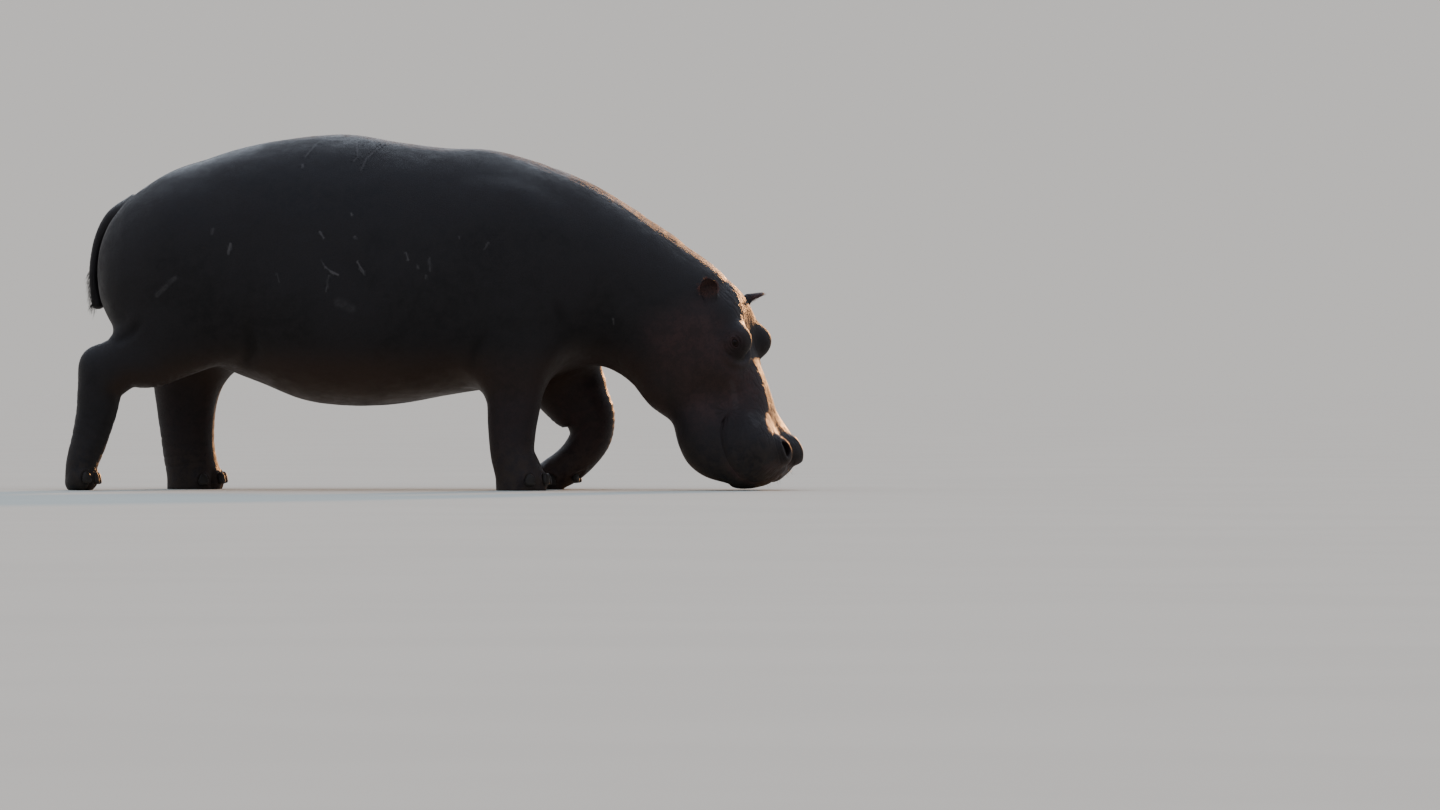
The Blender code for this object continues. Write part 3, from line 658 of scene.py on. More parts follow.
# Places on the head are along it, up and to the left. The right side is its mirror image.
EYEBALL = 0.023
EYE, EYE_FACING = (0.325, 0.098, 0.196), (0.12, 0.22, 0.96)
EYE_OPENING = 0.0190, 0.0125  # half length and half height between the lids
EYE_CORNER = 0.024
EYE_MOUND = (0.315, 0.088, 0.138)
LID, EYE_GAP = 0.0045, 0.0015  # lids outside the eyeball, and the skin sunk under it
# Folds round the lids: half length and half height, shift, depth, whether above the eye
LID_FOLDS = (
    ((0.034, 0.024), (-0.002, -0.001), 0.65, True),
    ((0.047, 0.038), (-0.003, -0.002), 0.22, True),
    ((0.033, 0.021), (0.001, 0.000), 0.45, False),
    ((0.043, 0.031), (0.004, -0.001), 0.45, False),
    ((0.058, 0.046), (0.010, -0.004), 0.24, False),
)
NOSTRIL, NOSTRIL_FACING = (0.812, 0.077, 0.111), (0.18, 0.66, 0.73)
NOSTRIL_OPENING, NOSTRIL_DEPTH = (0.034, 0.018), 0.034
# Along the head, the line between the lips: place along and height
MOUTH_LINE = (
    (0.565, 0.600, 0.640, 0.700, 0.780, 0.840, 0.900),
    (-0.042, -0.092, -0.118, -0.134, -0.138, -0.122, -0.095),
)
MOUTH_CORNER = (0.572, -0.060)
MOUTH_ARCH, MOUTH_DEPTH, MOUTH_WIDTH = 0.075, 0.008, 0.006
CHEEK_FOLD = 0.085
HEAD_START = -0.12, 0.02  # along the head: from the body's relief to the head's own

CREASE_DEPTH = 0.005  # of a crease of 1
UNEVEN = ((0.30, 0.0035), (0.11, 0.0018), (0.045, 0.0006))  # lumps of the hide: size, height
NECK_START, NECK_AXIS = (0.62, 0.95), (0.93, -0.37)  # in x and z
NECK_FOLD, LEG_FOLD, TAIL_FOLD = 0.075, 0.042, 0.020  # from one fold to the next
WRIST = (0.58, 0.28, 0.22)  # of the folded leg
CLEFTS = (-44.5, 0.0, 44.5)  # angles between the toes
NAIL = (0.013, 0.023, 0.027)  # half thickness, half width, half height
NAIL_TILT, NAIL_LIFT, NAIL_SUNK, NAIL_SEARCH = 0.12, 0.006, 0.003, 0.12
SCAR_REACH = 0.2  # from a scar's start to the farthest point that it marks
SCAR_HEIGHT = 0.0012

# Folds seen from the side: on which side, their line (x, z), depth and half width
FOLDS = (
    (RIGHT, ((-0.80, 0.50), (-0.74, 0.60), (-0.77, 0.74)), 0.006, 0.028),  # flank
    (LEFT, ((-0.78, 0.48), (-0.72, 0.60), (-0.75, 0.76)), 0.006, 0.028),
    (RIGHT, ((0.19, 0.47), (0.20, 0.58), (0.27, 0.70)), 0.006, 0.026),  # behind the elbow
    (LEFT, ((0.26, 0.48), (0.27, 0.60), (0.33, 0.72)), 0.006, 0.026),
    (RIGHT, ((0.56, 0.52), (0.58, 0.66), (0.53, 0.84)), 0.007, 0.022),  # before the shoulder
    (LEFT, ((0.70, 0.54), (0.66, 0.68), (0.58, 0.84)), 0.007, 0.022),
    (RIGHT, ((-1.34, 0.62), (-1.26, 0.66), (-1.18, 0.74)), 0.006, 0.020),  # above the hock
)

# Old scars by side: x and z of the start and of the end, half width, strength
SCARS = {
    RIGHT: (
        (-0.437, 0.970, -0.420, 0.941, 0.0036, 0.43),
        (-0.420, 0.941, -0.394, 0.920, 0.0043, 0.56),
        (-0.394, 0.920, -0.366, 0.907, 0.005, 0.62),
        (-0.284, 0.962, -0.257, 0.911, 0.0043, 0.62),
        (-0.360, 0.792, -0.312, 0.768, 0.02, 0.14),
        (-1.136, 0.822, -1.059, 0.894, 0.009, 0.22),
        (-0.824, 1.038, -0.832, 0.996, 0.0043, 0.53),
        (-0.900, 1.100, -0.903, 1.080, 0.0043, 0.25),
        (-0.445, 1.087, -0.428, 1.063, 0.0043, 0.5),
        (-0.314, 1.166, -0.312, 1.160, 0.0043, 0.56),
        (-0.297, 1.066, -0.296, 1.061, 0.0043, 0.37),
        (-0.534, 1.372, -0.532, 1.363, 0.0043, 0.43),
        (-0.490, 1.459, -0.527, 1.407, 0.0029, 0.37),
        (-0.319, 1.479, -0.304, 1.411, 0.0029, 0.37),
        (-0.304, 1.411, -0.319, 1.390, 0.0029, 0.37),
        (-0.209, 1.466, -0.268, 1.398, 0.0029, 0.31),
        (-0.268, 1.398, -0.285, 1.347, 0.0029, 0.31),
        (-0.623, 0.911, -0.614, 0.877, 0.0036, 0.31),
        (-0.403, 0.903, -0.415, 0.835, 0.0022, 0.31),
        (-0.081, 1.000, -0.072, 0.970, 0.0036, 0.43),
        (-0.034, 0.945, -0.032, 0.938, 0.0036, 0.31),
        (0.017, 0.975, 0.019, 0.924, 0.0036, 0.31),
        (0.002, 0.905, 0.001, 0.893, 0.0036, 0.31),
        (0.140, 1.067, 0.141, 1.060, 0.0036, 0.25),
        (0.250, 1.017, 0.261, 1.042, 0.0029, 0.25),
        (0.780, 0.722, 0.782, 0.700, 0.0043, 0.5),
        (1.276, 0.453, 1.293, 0.352, 0.012, 0.10),
        (1.354, 0.318, 1.382, 0.276, 0.011, 0.14),
    ),
    LEFT: (
        (-0.610, 0.960, -0.560, 0.905, 0.0043, 0.5),
        (-0.300, 1.120, -0.270, 1.075, 0.0036, 0.43),
        (0.060, 0.905, 0.085, 0.880, 0.0043, 0.37),
        (-1.050, 0.900, -0.990, 0.840, 0.0058, 0.37),
        (0.420, 1.080, 0.435, 1.045, 0.0036, 0.37),
    ),
}


def facing_frames(place, facing):
    """By side, the middle and axes of something on the head: along it, up it and outwards."""
    found = {}
    for hand in SIDES.values():
        mirror = np.array((1, 1, hand))
        out = unit((facing * mirror) @ HEAD_AXES)
        along = unit(HEAD_AXES[0] - out * (HEAD_AXES[0] @ out))
        up = np.cross(out, along) * hand
        axes = np.array([along, up * np.sign(up @ HEAD_AXES[1]), out])
        found[hand] = from_head(*(place * mirror)), axes
    return found


EYE_FRAMES = facing_frames(EYE, EYE_FACING)
NOSTRIL_FRAMES = facing_frames(NOSTRIL, NOSTRIL_FACING)


def nail_frames():
    """Each nail's middle and axes (outwards, across, up) by foot and number, at the skin."""
    found = {}
    for name, foot in FEET.items():
        for number, (middle, outward) in foot.items():
            facing = unit(outward * (1, 1, 0) + np.array((0, 0, NAIL_TILT)))
            start = np.array((middle[0], middle[1], max(middle[2], NAIL[2] + NAIL_LIFT)))
            steps = np.linspace(0.0, NAIL_SEARCH, 81)
            outside = body_form(start + facing * steps[:, None]) > 0
            place = start + facing * (steps[np.argmax(outside)] - NAIL_SUNK)
            across = unit(np.cross((0, 0, 1), facing))
            axes = np.array([facing, across, np.cross(facing, across)])
            found[f"{name}_{number}"] = place, axes
    return found


NAILS = nail_frames()


def lip_height(p):
    """Height of points of the head above the line between the lips, and 1 where it runs."""
    line = np.interp(p[:, 0], *MOUTH_LINE) + MOUTH_ARCH * np.exp(-((p[:, 2] / 0.07) ** 2))
    return p[:, 1] - line, np.clip((p[:, 0] - MOUTH_LINE[0][0]) / 0.04, 0, 1)


def scar_at(points):
    """How scarred the skin is at each point, from 0 to 1."""
    scar = np.zeros(len(points))
    wander = 0.003 * noise(points, 0.02, 31)
    flat = points[:, (0, 2)]
    for hand, rows in SCARS.items():
        for *ends, half, strength in rows:
            near = points[:, 1] * hand > 0
            near &= (np.abs(flat - ends[:2]) < SCAR_REACH).all(1)
            away, _ = to_segment(flat[near], ends[:2], ends[2:])
            mark = strength * (1 - ramp(away + wander[near], 0.5 * half, 1.5 * half))
            scar[near] = np.maximum(scar[near], mark)
    return scar


def fold_neck(points, crease):
    """Folds round the neck, deepest low down, and fine wrinkles over the nape."""
    x, y, z = points.T
    on_neck = (x - NECK_START[0]) * NECK_AXIS[0] + (z - NECK_START[1]) * NECK_AXIS[1]
    phase = (on_neck - 0.342) / NECK_FOLD + 0.35 * noise(points, 0.22, 5)
    low = 1 - ramp(z, 0.55, 0.95)
    depth = band(on_neck, (0.02, 0.12), (0.40, 0.50)) * (0.2 + 0.8 * low)
    depth *= 0.55 + 0.45 * noise(points, 0.15, 6)
    crease += depth * pleats(phase)
    nape = ramp(x, 0.20, 0.60) * ramp(z, 0.72, 0.86) * (1 - ramp(np.abs(y), 0.10, 0.26))
    crease += 0.45 * nape * wrinkles(points, (0.055, 0.030, 0.055), 24)


def fold_sides(points, rise, crease):
    """The single folds of flank, elbow, shoulder and hock, each with a soft roll beside it."""
    for hand, line, deep, half in FOLDS:
        near = points[:, 1] * hand > 0.10
        away = np.full(near.sum(), np.inf)
        reach = np.zeros(near.sum())
        for i, (start, end) in enumerate(zip(line, line[1:])):
            off, t = to_segment(points[near][:, (0, 2)], start, end)
            reach = np.where(off < away, (i + t) / (len(line) - 1), reach)
            away = np.minimum(away, off)
        fade = band(reach, (0, 0.3), (0.6, 1))
        wave = away + 0.006 * noise(points[near], 0.06, 8)
        crease[near] += fade * hump(wave, 0, half) * deep / CREASE_DEPTH
        rise[near] += 0.4 * deep * fade * hump(wave, 1.9 * half, half)


def fold_legs(points, crease):
    """Shallow folds round each leg, from above the foot to below the trunk."""
    for leg, _ in LEGS:
        near = ((points > leg.low) & (points < leg.high)).all(1) & (points[:, 2] < 0.62)
        p, centres = points[near], leg.centres[::2]
        gap = ((p[:, None] - centres[None]) ** 2).sum(2)
        i = gap.argmin(1)
        close = np.sqrt(gap[np.arange(len(p)), i]) < 0.20
        to_end = np.cumsum(leg.pitch[::-1])[::-1][::2][i]
        run = to_end - ((p - centres[i]) * leg.run[::2][i]).sum(1)
        depth = band(run, (0.09, 0.13), (0.30, 0.46)) * close
        depth *= 0.30 + 0.28 * noise(p, 0.10, 9)
        crease[near] += depth * pleats(run / LEG_FOLD + 0.45 * noise(p, 0.09, 7))


def part_toes(points, crease):
    """The clefts between the toes of each foot."""
    for foot in FEET.values():
        middle = np.mean([centre for centre, _ in foot.values()], axis=0)
        ahead = unit(np.mean([outward for _, outward in foot.values()], axis=0) * (1, 1, 0))
        across = np.array((-ahead[1], ahead[0], 0))
        near = (np.abs(points - middle) < (0.16, 0.16, 0.13)).all(1)
        p = points[near]
        from_back = p - (middle - ahead * 0.05)
        angle = np.degrees(np.arctan2(from_back @ across, from_back @ ahead))
        for cleft in CLEFTS:
            groove = hump(angle + 4 * noise(p, 0.03, 11), cleft, 6.0)
            crease[near] += 1.5 * (groove * (1 - ramp(p[:, 2], 0.045, 0.105)))


def body_relief(points):
    """Outward movement of the skin of trunk, neck and legs, and the depth of its creases."""
    rise = sum(high * noise(points, size, seed) for seed, (size, high) in enumerate(UNEVEN, 1))
    crease = np.zeros(len(points))
    fold_neck(points, crease)
    fold_sides(points, rise, crease)
    fold_legs(points, crease)
    part_toes(points, crease)
    x, y, z = points.T
    tail = ramp(-x, 1.36, 1.40) * (np.abs(y) < 0.08) * ramp(-z, -1.15, -1.05) * (z > 0.78)
    down = points @ np.array((0.1, 0, -1))
    crease += 0.22 * tail * pleats(down / TAIL_FOLD + 0.3 * noise(points, 0.03, 12))
    return rise, crease


def round_corner(p, corner):
    """How far the points are from a corner of the eye or mouth, and their angle round it."""
    flat = p[:, :2] - corner
    return np.linalg.norm(flat, axis=1), np.arctan2(flat[:, 1], flat[:, 0])


def fold_lids(points, p, hand, rise, crease):
    """A roll round one eye mound, the rims and folds of the lids, and lines at their corners."""
    mound = away_from(p, np.array(EYE_MOUND) * (1, 1, hand))
    ahead = ramp(p[:, 0], 0.30, 0.37) * ramp(p[:, 1], 0.00, 0.05)
    rise += 0.005 * hump(mound, 0.104, 0.013) * ahead
    crease += 0.9 * hump(mound, 0.084, 0.009) * ahead
    e = local(points, *EYE_FRAMES[hand])
    near = np.abs(e[:, 2]) < 0.045
    upper = ramp(e[:, 1], -0.006, 0.008)
    rise += near * (0.0022 + 0.0022 * upper) * hump(oval(e, EYE_OPENING), 1.30, 0.25)
    for (long, high), shift, deep, above in LID_FOLDS:
        ring = oval(e - (*shift, 0), (long, high)) + 0.16 * noise(p, 0.022, 17)
        half = upper if above else 1 - upper
        fade = ramp(np.abs(e[:, 0] / long), 1.15, 0.55)
        crease += near * deep * half * fade * hump(ring, 1.0, 0.0035 / high)
        rise += near * 0.0020 * half * fade * hump(ring, 1.0 + 0.009 / high, 0.008 / high)
    for end in (-1, 1):
        away, turn = round_corner(e, (end * EYE_CORNER, 0))
        spokes = pleats(turn * 2.4 + 0.3 * noise(p, 0.02, 22))
        outer = e[:, 0] * end > EYE_CORNER
        crease += near * 0.30 * spokes * hump(away, 0.020, 0.010) * outer


def ring_nostril(points, p, hand, rise, crease):
    """The swelling round one nostril, and the fold round that."""
    n = local(points, *NOSTRIL_FRAMES[hand])
    near = np.abs(n[:, 2]) < 0.05
    ring = oval(n, NOSTRIL_OPENING)
    rise += near * 0.0050 * hump(ring, 1.55, 0.42)
    crease += near * 0.35 * hump(ring + 0.15 * noise(p, 0.02, 18), 2.70, 0.22)


def part_lips(p, rise, crease):
    """The line between the lips, the lips' swelling, and lines at the corners and on the pad."""
    along, _, left = p.T
    above, front = lip_height(p)
    above = above + 0.003 * noise(p, 0.04, 19)
    deep = MOUTH_DEPTH * front * (0.36 + 0.95 * hump(along, 0.59, 0.035))
    rise -= deep * hump(above, 0, MOUTH_WIDTH)
    rise += front * (0.004 * hump(above, 0.030, 0.022) + 0.001 * hump(above, -0.030, 0.016))
    away, turn = round_corner(p, MOUTH_CORNER)
    crease += 0.5 * pleats(turn * 2.2) * hump(away, 0.035, 0.02) * (np.abs(left) > 0.1)
    pad = ramp(along, 0.62, 0.70) * band(above, (0.01, 0.03), (0.10, 0.14))
    crease += 0.30 * pad * pleats(left / 0.030 + along / 0.05 + 0.5 * noise(p, 0.05, 20), 3)


def head_relief(points, p):
    """Outward movement and depth of creases for the head, whose own coordinates are p."""
    along, up, left = p.T
    rise, crease = np.zeros(len(p)), np.zeros(len(p))
    brow = band(along, (-0.04, 0.04), (0.24, 0.34)) * ramp(up, 0.02, 0.08)
    brow *= 1 - ramp(np.abs(left), 0.13, 0.17)
    crease += 0.38 * brow * wrinkles(p, (0.040, 0.030, 0.014), 13)
    snout = band(along, (0.36, 0.46), (0.76, 0.84)) * ramp(up, -0.04, 0.03)
    crease += 0.28 * snout * wrinkles(p, (0.030, 0.045, 0.018), 14)
    cheek = band(along, (-0.02, 0.06), (0.42, 0.52)) * (1 - ramp(up, -0.06, 0.03))
    folds = pleats((along + 0.5 * up) / CHEEK_FOLD + 0.6 * noise(p, 0.12, 15))
    crease += 0.30 * cheek * folds * (0.5 + 0.5 * noise(p, 0.10, 16))
    for hand in SIDES.values():
        fold_lids(points, p, hand, rise, crease)
        ring_nostril(points, p, hand, rise, crease)
    part_lips(p, rise, crease)
    return rise, crease


def cupped(points):
    """Hollows the front of each ear, leaving a wall that thins to its rim."""
    for _, middle, axes, length in EAR_FRAMES.values():
        e = local(points, middle, axes)
        half = ear_half(length)
        out = (e[:, 0] / half[0]) ** 2 + (e[:, 1] / half[1]) ** 2
        inside = (out < 1) & (np.abs(e[:, 2]) < 0.05) & (e[:, 2] > -0.004)
        dome = half[2] * np.sqrt(np.clip(1 - out, 0, 1)) / ear_taper(e[:, 0] / half[0])
        floor = 0.007 - dome + 0.0015 * pleats(e[:, 1] / 0.012 + 0.5)
        share = ramp(e[:, 0], -0.95 * half[0], 0.20 * half[0]) * inside
        share = share * ramp(e[:, 2] - floor, 0, 0.004)
        points = points - (share * (e[:, 2] - floor))[:, None] * axes[2]
    return points


def opened(points):
    """Opens the lids over the eyeballs, and the nostrils."""
    for middle, axes in EYE_FRAMES.values():
        e = local(points, middle, axes)
        ring, flat = oval(e, EYE_OPENING), (e[:, :2] ** 2).sum(1)
        outside = (e[:, 2] > 0.004) & (e[:, 2] < 0.05)
        lid = np.sqrt(np.maximum((EYEBALL + LID) ** 2 - flat, 0))
        snug = (1 - ramp(ring, 1.10, 1.45)) * outside
        height = e[:, 2] - snug * np.maximum(e[:, 2] - lid, 0)
        ball = np.sqrt(np.maximum(EYEBALL**2 - flat, 0)) - EYE_GAP
        height = height - (1 - ramp(ring, 0.86, 1.06)) * outside * (height - ball)
        points = points + (height - e[:, 2])[:, None] * axes[2]
    for middle, axes in NOSTRIL_FRAMES.values():
        n = local(points, middle, axes)
        bent = n.copy()
        bent[:, 1] += 0.010 * (n[:, 0] / NOSTRIL_OPENING[0]) ** 2 - 0.004
        share = (1 - ramp(oval(bent, NOSTRIL_OPENING), 0.55, 1.10)) * (np.abs(n[:, 2]) < 0.05)
        points = points - (share * NOSTRIL_DEPTH)[:, None] * axes[2]
    return points


def bedded(points):
    """Lets the skin dip under each toenail and swell round its root."""
    rise = np.zeros(len(points))
    for middle, axes in NAILS.values():
        near = np.abs(points - middle).max(1) < 0.06
        n = local(points[near], middle, axes)
        ring = oval(n[:, 1:], NAIL[1:])
        lift = 0.0030 * hump(ring, 1.28, 0.18) * ramp(n[:, 2], -0.02, 0.0)
        rise[near] += (n[:, 0] > -0.012) * (lift - 0.0045 * (1 - ramp(ring, 0.75, 1.05)))
    return rise


def close_to(points, spots):
    """Whether each point is within reach of one of the spots, each a centre and its reach."""
    return np.any([away_from(points, centre) < reach for centre, reach in spots], 0)


def build_skin():
    """The skin's vertices, its faces, and what its finish needs at every vertex."""
    counts = np.ceil((NET_HIGH - NET_LOW) / CELL).astype(int) + 1
    net = Net(*surface_net(sampled(hide_form, NET_LOW, counts), NET_LOW))
    net.evened(3)
    net.settled(hide_form, 2)
    net.split(np.ones(len(net.quads), bool))

    # Finer: head, feet, scars and the bent wrist
    middle = net.middles()
    fine = (in_head(middle)[:, 0] > 0.0) | (middle[:, 2] < 0.16) | (scar_at(middle) > 0)
    net.split(fine | close_to(middle, [(WRIST, 0.12)]))
    net.settled(hide_form, 1)

    # Finest: lips, scars, eyes, nostrils, ears and toenails
    middle = net.middles()
    p = in_head(middle)
    above, front = lip_height(p)
    finest = (front > 0.5) & (np.abs(above) < 0.022) & (np.abs(p[:, 2]) < 0.3)
    finest |= scar_at(middle) > 0.05
    openings = (*EYE_FRAMES.values(), *NOSTRIL_FRAMES.values())
    spots = [(centre, 0.062) for centre, _ in openings]
    spots += [(centre, 0.62 * length) for _, centre, _, length in EAR_FRAMES.values()]
    spots += [(centre, 0.042) for centre, _ in NAILS.values()]
    net.split(finest | close_to(middle, spots))
    net.settled(hide_form, 1)

    quads, mixed = net.faces()
    at = net.vertices
    normals = normals_of(at, quads)
    rise, crease = body_relief(at)
    p = in_head(at)
    on_head = p[:, 0] > HEAD_START[0]
    head_rise, head_crease = head_relief(at[on_head], p[on_head])
    share = ramp(p[on_head][:, 0], *HEAD_START)
    rise[on_head] = rise[on_head] * (1 - 0.6 * share) + head_rise * share
    crease[on_head] = crease[on_head] * (1 - share) + head_crease * share
    scar = scar_at(at)
    rise += bedded(at) + SCAR_HEIGHT * scar
    at = opened(cupped(at + normals * (rise - CREASE_DEPTH * crease)[:, None]))
    at[:, 2] = np.maximum(at[:, 2], SOLE_LEVEL)
    return at, quads, mixed, crease, scar


def skin_mesh(name, vertices, quads, mixed):
    """A smooth mesh of quads and of faces with more corners."""
    corners = np.concatenate([quads.ravel(), np.array(sum(mixed, []), int)])
    sizes = np.concatenate([np.full(len(quads), 4), [len(face) for face in mixed]]).astype(int)
    mesh = bpy.data.meshes.new(name)
    mesh.vertices.add(len(vertices))
    mesh.vertices.foreach_set("co", vertices.astype(np.float32).ravel())
    mesh.loops.add(len(corners))
    mesh.loops.foreach_set("vertex_index", corners.astype(np.int32))
    mesh.polygons.add(len(sizes))
    starts = np.concatenate([[0], np.cumsum(sizes)[:-1]])
    mesh.polygons.foreach_set("loop_start", starts.astype(np.int32))
    mesh.update(calc_edges=True)
    mesh.validate()
    mesh.shade_smooth()
    return mesh


def in_scene(name, data):
    """A new object with that mesh, lamp or camera."""
    piece = bpy.data.objects.new(name, data)
    bpy.context.collection.objects.link(piece)
    return piece


def shown(name, slot, mesh, **values):
    """A piece of the model, with a number at every vertex for each name of its values."""
    for label, numbers in values.items():
        layer = mesh.attributes.new(label, "FLOAT", "POINT")
        layer.data.foreach_set("value", np.asarray(numbers, np.float32))
    piece = in_scene(name, mesh)
    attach(piece, "root")
    return piece


def modelled(name, slot, points, faces, **values):
    """A smooth piece made from lists of its points and faces."""
    mesh = bpy.data.meshes.new(name)
    mesh.from_pydata(points.reshape(-1, 3).tolist(), [], faces)
    mesh.shade_smooth()
    return shown(name, slot, mesh, **values)


# ---------------------------------------------------------------- the hide

at, quads, mixed, crease, scar = build_skin()
normals = normals_of(at, quads)
on_head = in_head(at)


def in_ears(points):
    """How far inside or on the rim of an ear each point is, and how deep in its cup."""
    ear, cup = np.zeros(len(points)), np.zeros(len(points))
    for _, middle, axes, length in EAR_FRAMES.values():
        e = local(points, middle, axes)
        out = oval(e, ear_half(length))
        away = np.sqrt(out**2 + (e[:, 2] / EAR_THICK) ** 2)
        ear += (1 - ramp(away, 1.1, 1.6)) * ramp(e[:, 0], -0.42 * length, 0.0)
        cup += (1 - ramp(out, 0.80, 1.0)) * band(e[:, 2], (-0.024, -0.004), (0.008, 0.020))
    return ear, cup


def rosy_at(points, p, ear, cup):
    """Where blood shows through the hide: lids, ears, lips, cheeks, throat and inner legs."""
    x, y, z = points.T
    above, front = lip_height(p)
    lips = ramp(p[:, 0], 0.74, 0.84) * hump(above, -0.006, 0.018) * front
    cheek = band(p[:, 0], (0.02, 0.2), (0.50, 0.66))
    cheek *= 1 - ramp(np.abs(p[:, 1] + 0.07), 0.08, 0.20)
    inner = (z < 0.52) * (1 - ramp(np.abs(np.abs(y) - 0.17), 0.02, 0.09))
    belly = (1 - ramp(z, 0.50, 0.62)) * (np.abs(x) < 1.0)
    muzzle = ramp(p[:, 0], 0.835, 0.865) * (1 - ramp(np.abs(p[:, 1] - 0.02), 0.02, 0.07))
    muzzle *= 0.5 + 0.5 * noise(p, 0.025, 23)
    lids = sum(1 - ramp(away_from(points, eye), 0.0225, 0.075) for eye, _ in EYE_FRAMES.values())
    rosy = 0.34 * lids + 0.75 * lips + 0.37 * cheek + 0.30 * ear
    rosy += 0.8 * muzzle + 0.15 * inner + 0.12 * belly + 0.5 * cup
    return np.clip(rosy + 0.05 * ramp(p[:, 0], 0.0, 0.2), 0, 1)


ear, cup = in_ears(at)
belly = band(at[:, 2], (0.30, 0.44), (0.46, 0.66)) * ramp(-normals[:, 2], -0.1, 0.7)
skin = shown(
    "skin", "hide", skin_mesh("skin", at, quads, mixed),
    crease=np.clip(crease, 0, 1), scar=scar, rosy=rosy_at(at, on_head, ear, cup),
    warm=np.clip(belly + 0.4 * cup, 0, 1), earth=1 - ramp(at[:, 2], 0.02, 0.30),
)
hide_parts(*[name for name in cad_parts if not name.startswith(("toenail", "eye"))])


# ---------------------------------------------------------------- eyes and toenails

CORNEA, CORNEA_RISE = 0.0105, 0.0016


def ball(rings, sides, crowding=1.0):
    """Tilt and turn of the points of a ball between its poles, by rings, and the ball's faces.

    The first pole is before those points and the other after them. Rings crowd to the first.
    """
    tilt = pi * (np.arange(1, rings) / rings) ** crowding
    turn = 2 * pi * np.arange(sides) / sides
    pairs = [(k, (k + 1) % sides) for k in range(sides)]
    faces = [(0, 1 + k, 1 + after) for k, after in pairs]
    for a in range(1, 1 + (rings - 2) * sides, sides):
        b = a + sides
        faces += [(a + k, b + k, b + after, a + after) for k, after in pairs]
    last = 1 + (rings - 1) * sides
    faces += [(last, last - sides + after, last - sides + k) for k, after in pairs]
    return *np.meshgrid(tilt, turn, indexing="ij"), faces


def with_poles(first, rings, last):
    """The points of a ball: one pole, the rings, which are given by coordinate, and the other."""
    return np.concatenate([[first], np.stack(rings, -1).reshape(-1, 3), [last]])


def eyeball(side, centre, axes):
    """A ball with a slight bulge in front."""
    tilt, turn, faces = ball(44, 56, 1.5)
    rings = np.sin(tilt) * np.cos(turn), np.sin(tilt) * np.sin(turn), np.cos(tilt)
    points = with_poles((0, 0, 1), rings, (0, 0, -1)) * EYEBALL
    bulge = 1 - ramp(np.linalg.norm(points[:, :2], axis=1), 0.35 * CORNEA, 1.2 * CORNEA)
    points[:, 2] += CORNEA_RISE * (points[:, 2] > 0) * bulge
    if np.linalg.det(axes) < 0:
        faces = [face[::-1] for face in faces]
    piece = modelled(
        f"eyeball_{side}", "eye", centre + points @ axes, faces,
        across=points[:, 0], upward=points[:, 1], front=points[:, 2] > 0,
    )
    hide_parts(f"eye_{side}")
    return piece


eyeballs = [eyeball(side, *EYE_FRAMES[hand]) for side, hand in SIDES.items()]


def squared(value, power):
    """A sine or cosine drawn out towards its ends, which makes a round shape squarer."""
    return np.sign(value) * np.abs(value) ** power


def toenail(place, axes, seed):
    """Vertices and faces of one nail: domed, ridged along its growth, blunt at its lower edge."""
    tilt, turn, faces = ball(20, 36)
    wide = squared(np.sin(tilt), 0.8)
    rings = (
        squared(np.cos(tilt), 0.85),
        wide * squared(np.cos(turn), 0.85),
        wide * squared(np.sin(turn), 0.80),
    )
    n = with_poles((1, 0, 0), rings, (-1, 0, 0))
    front = n[:, 0] > 0
    ridges = 0.030 * np.sin(26 * n[:, 1] + seed) + 0.05 * noise(n + seed, (9, 0.35, 1.6), 21)
    n[:, 0] += front * ridges * (1 - np.abs(n[:, 1]) ** 3)
    n[:, 0] += front * 0.16 * hump(n[:, 2], -0.75, 0.35)  # thicker towards the worn edge
    n[:, 2] = np.where(n[:, 2] < -0.80, -0.80 + 0.45 * (n[:, 2] + 0.80), n[:, 2])
    n[:, 1] *= 1.05 - 0.33 * ramp(n[:, 2], -0.55, 1.0)
    vertices = place + (n * NAIL) @ axes
    vertices[:, 2] = np.maximum(vertices[:, 2], SOLE_LEVEL)
    return vertices, faces, n


def foot_nails(foot):
    """One piece with the toenails of a foot."""
    names = [name for name in NAILS if name.startswith(foot)]
    vertices, corners, growth = [], [], []
    for seed, name in enumerate(names, 1):
        points, faces, n = toenail(*NAILS[name], seed)
        corners += [tuple(len(points) * len(vertices) + c for c in face) for face in faces]
        vertices.append(points)
        growth.append(n[:, 2])
    growth = np.concatenate(growth)
    piece = modelled(
        f"toenails_{foot}", "toenail", np.concatenate(vertices), corners,
        worn=1 - ramp(growth, -0.85, -0.25), growth=growth,
    )
    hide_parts(*[f"toenail_{name}" for name in names])
    return piece


toenails = [foot_nails(foot) for foot in FEET]


# ---------------------------------------------------------------- bristles

STEPS, FACETS = 4, 3  # lengths and sides of one bristle
ROOT_DEPTH = 0.001
TAPER = 0.85
ASKEW = (0.31, 0.23, 0.92)  # a direction that no bristle lies along
PATCH = 0.003  # side of a bristle's patch on the map OFBake
DOWN = np.array((0, 0, -1.0))
rng = np.random.default_rng(5)


def rolled(points, centre, axes, length):
    """Unwraps points round the first of the axes: turn round it, and place along it."""
    p = local(points, centre, axes)
    turn = 0.5 + np.arctan2(p[:, 2], p[:, 1]) / (2 * pi)
    return np.clip(np.column_stack([turn, p[:, 0] / length]), 0.01, 0.99)


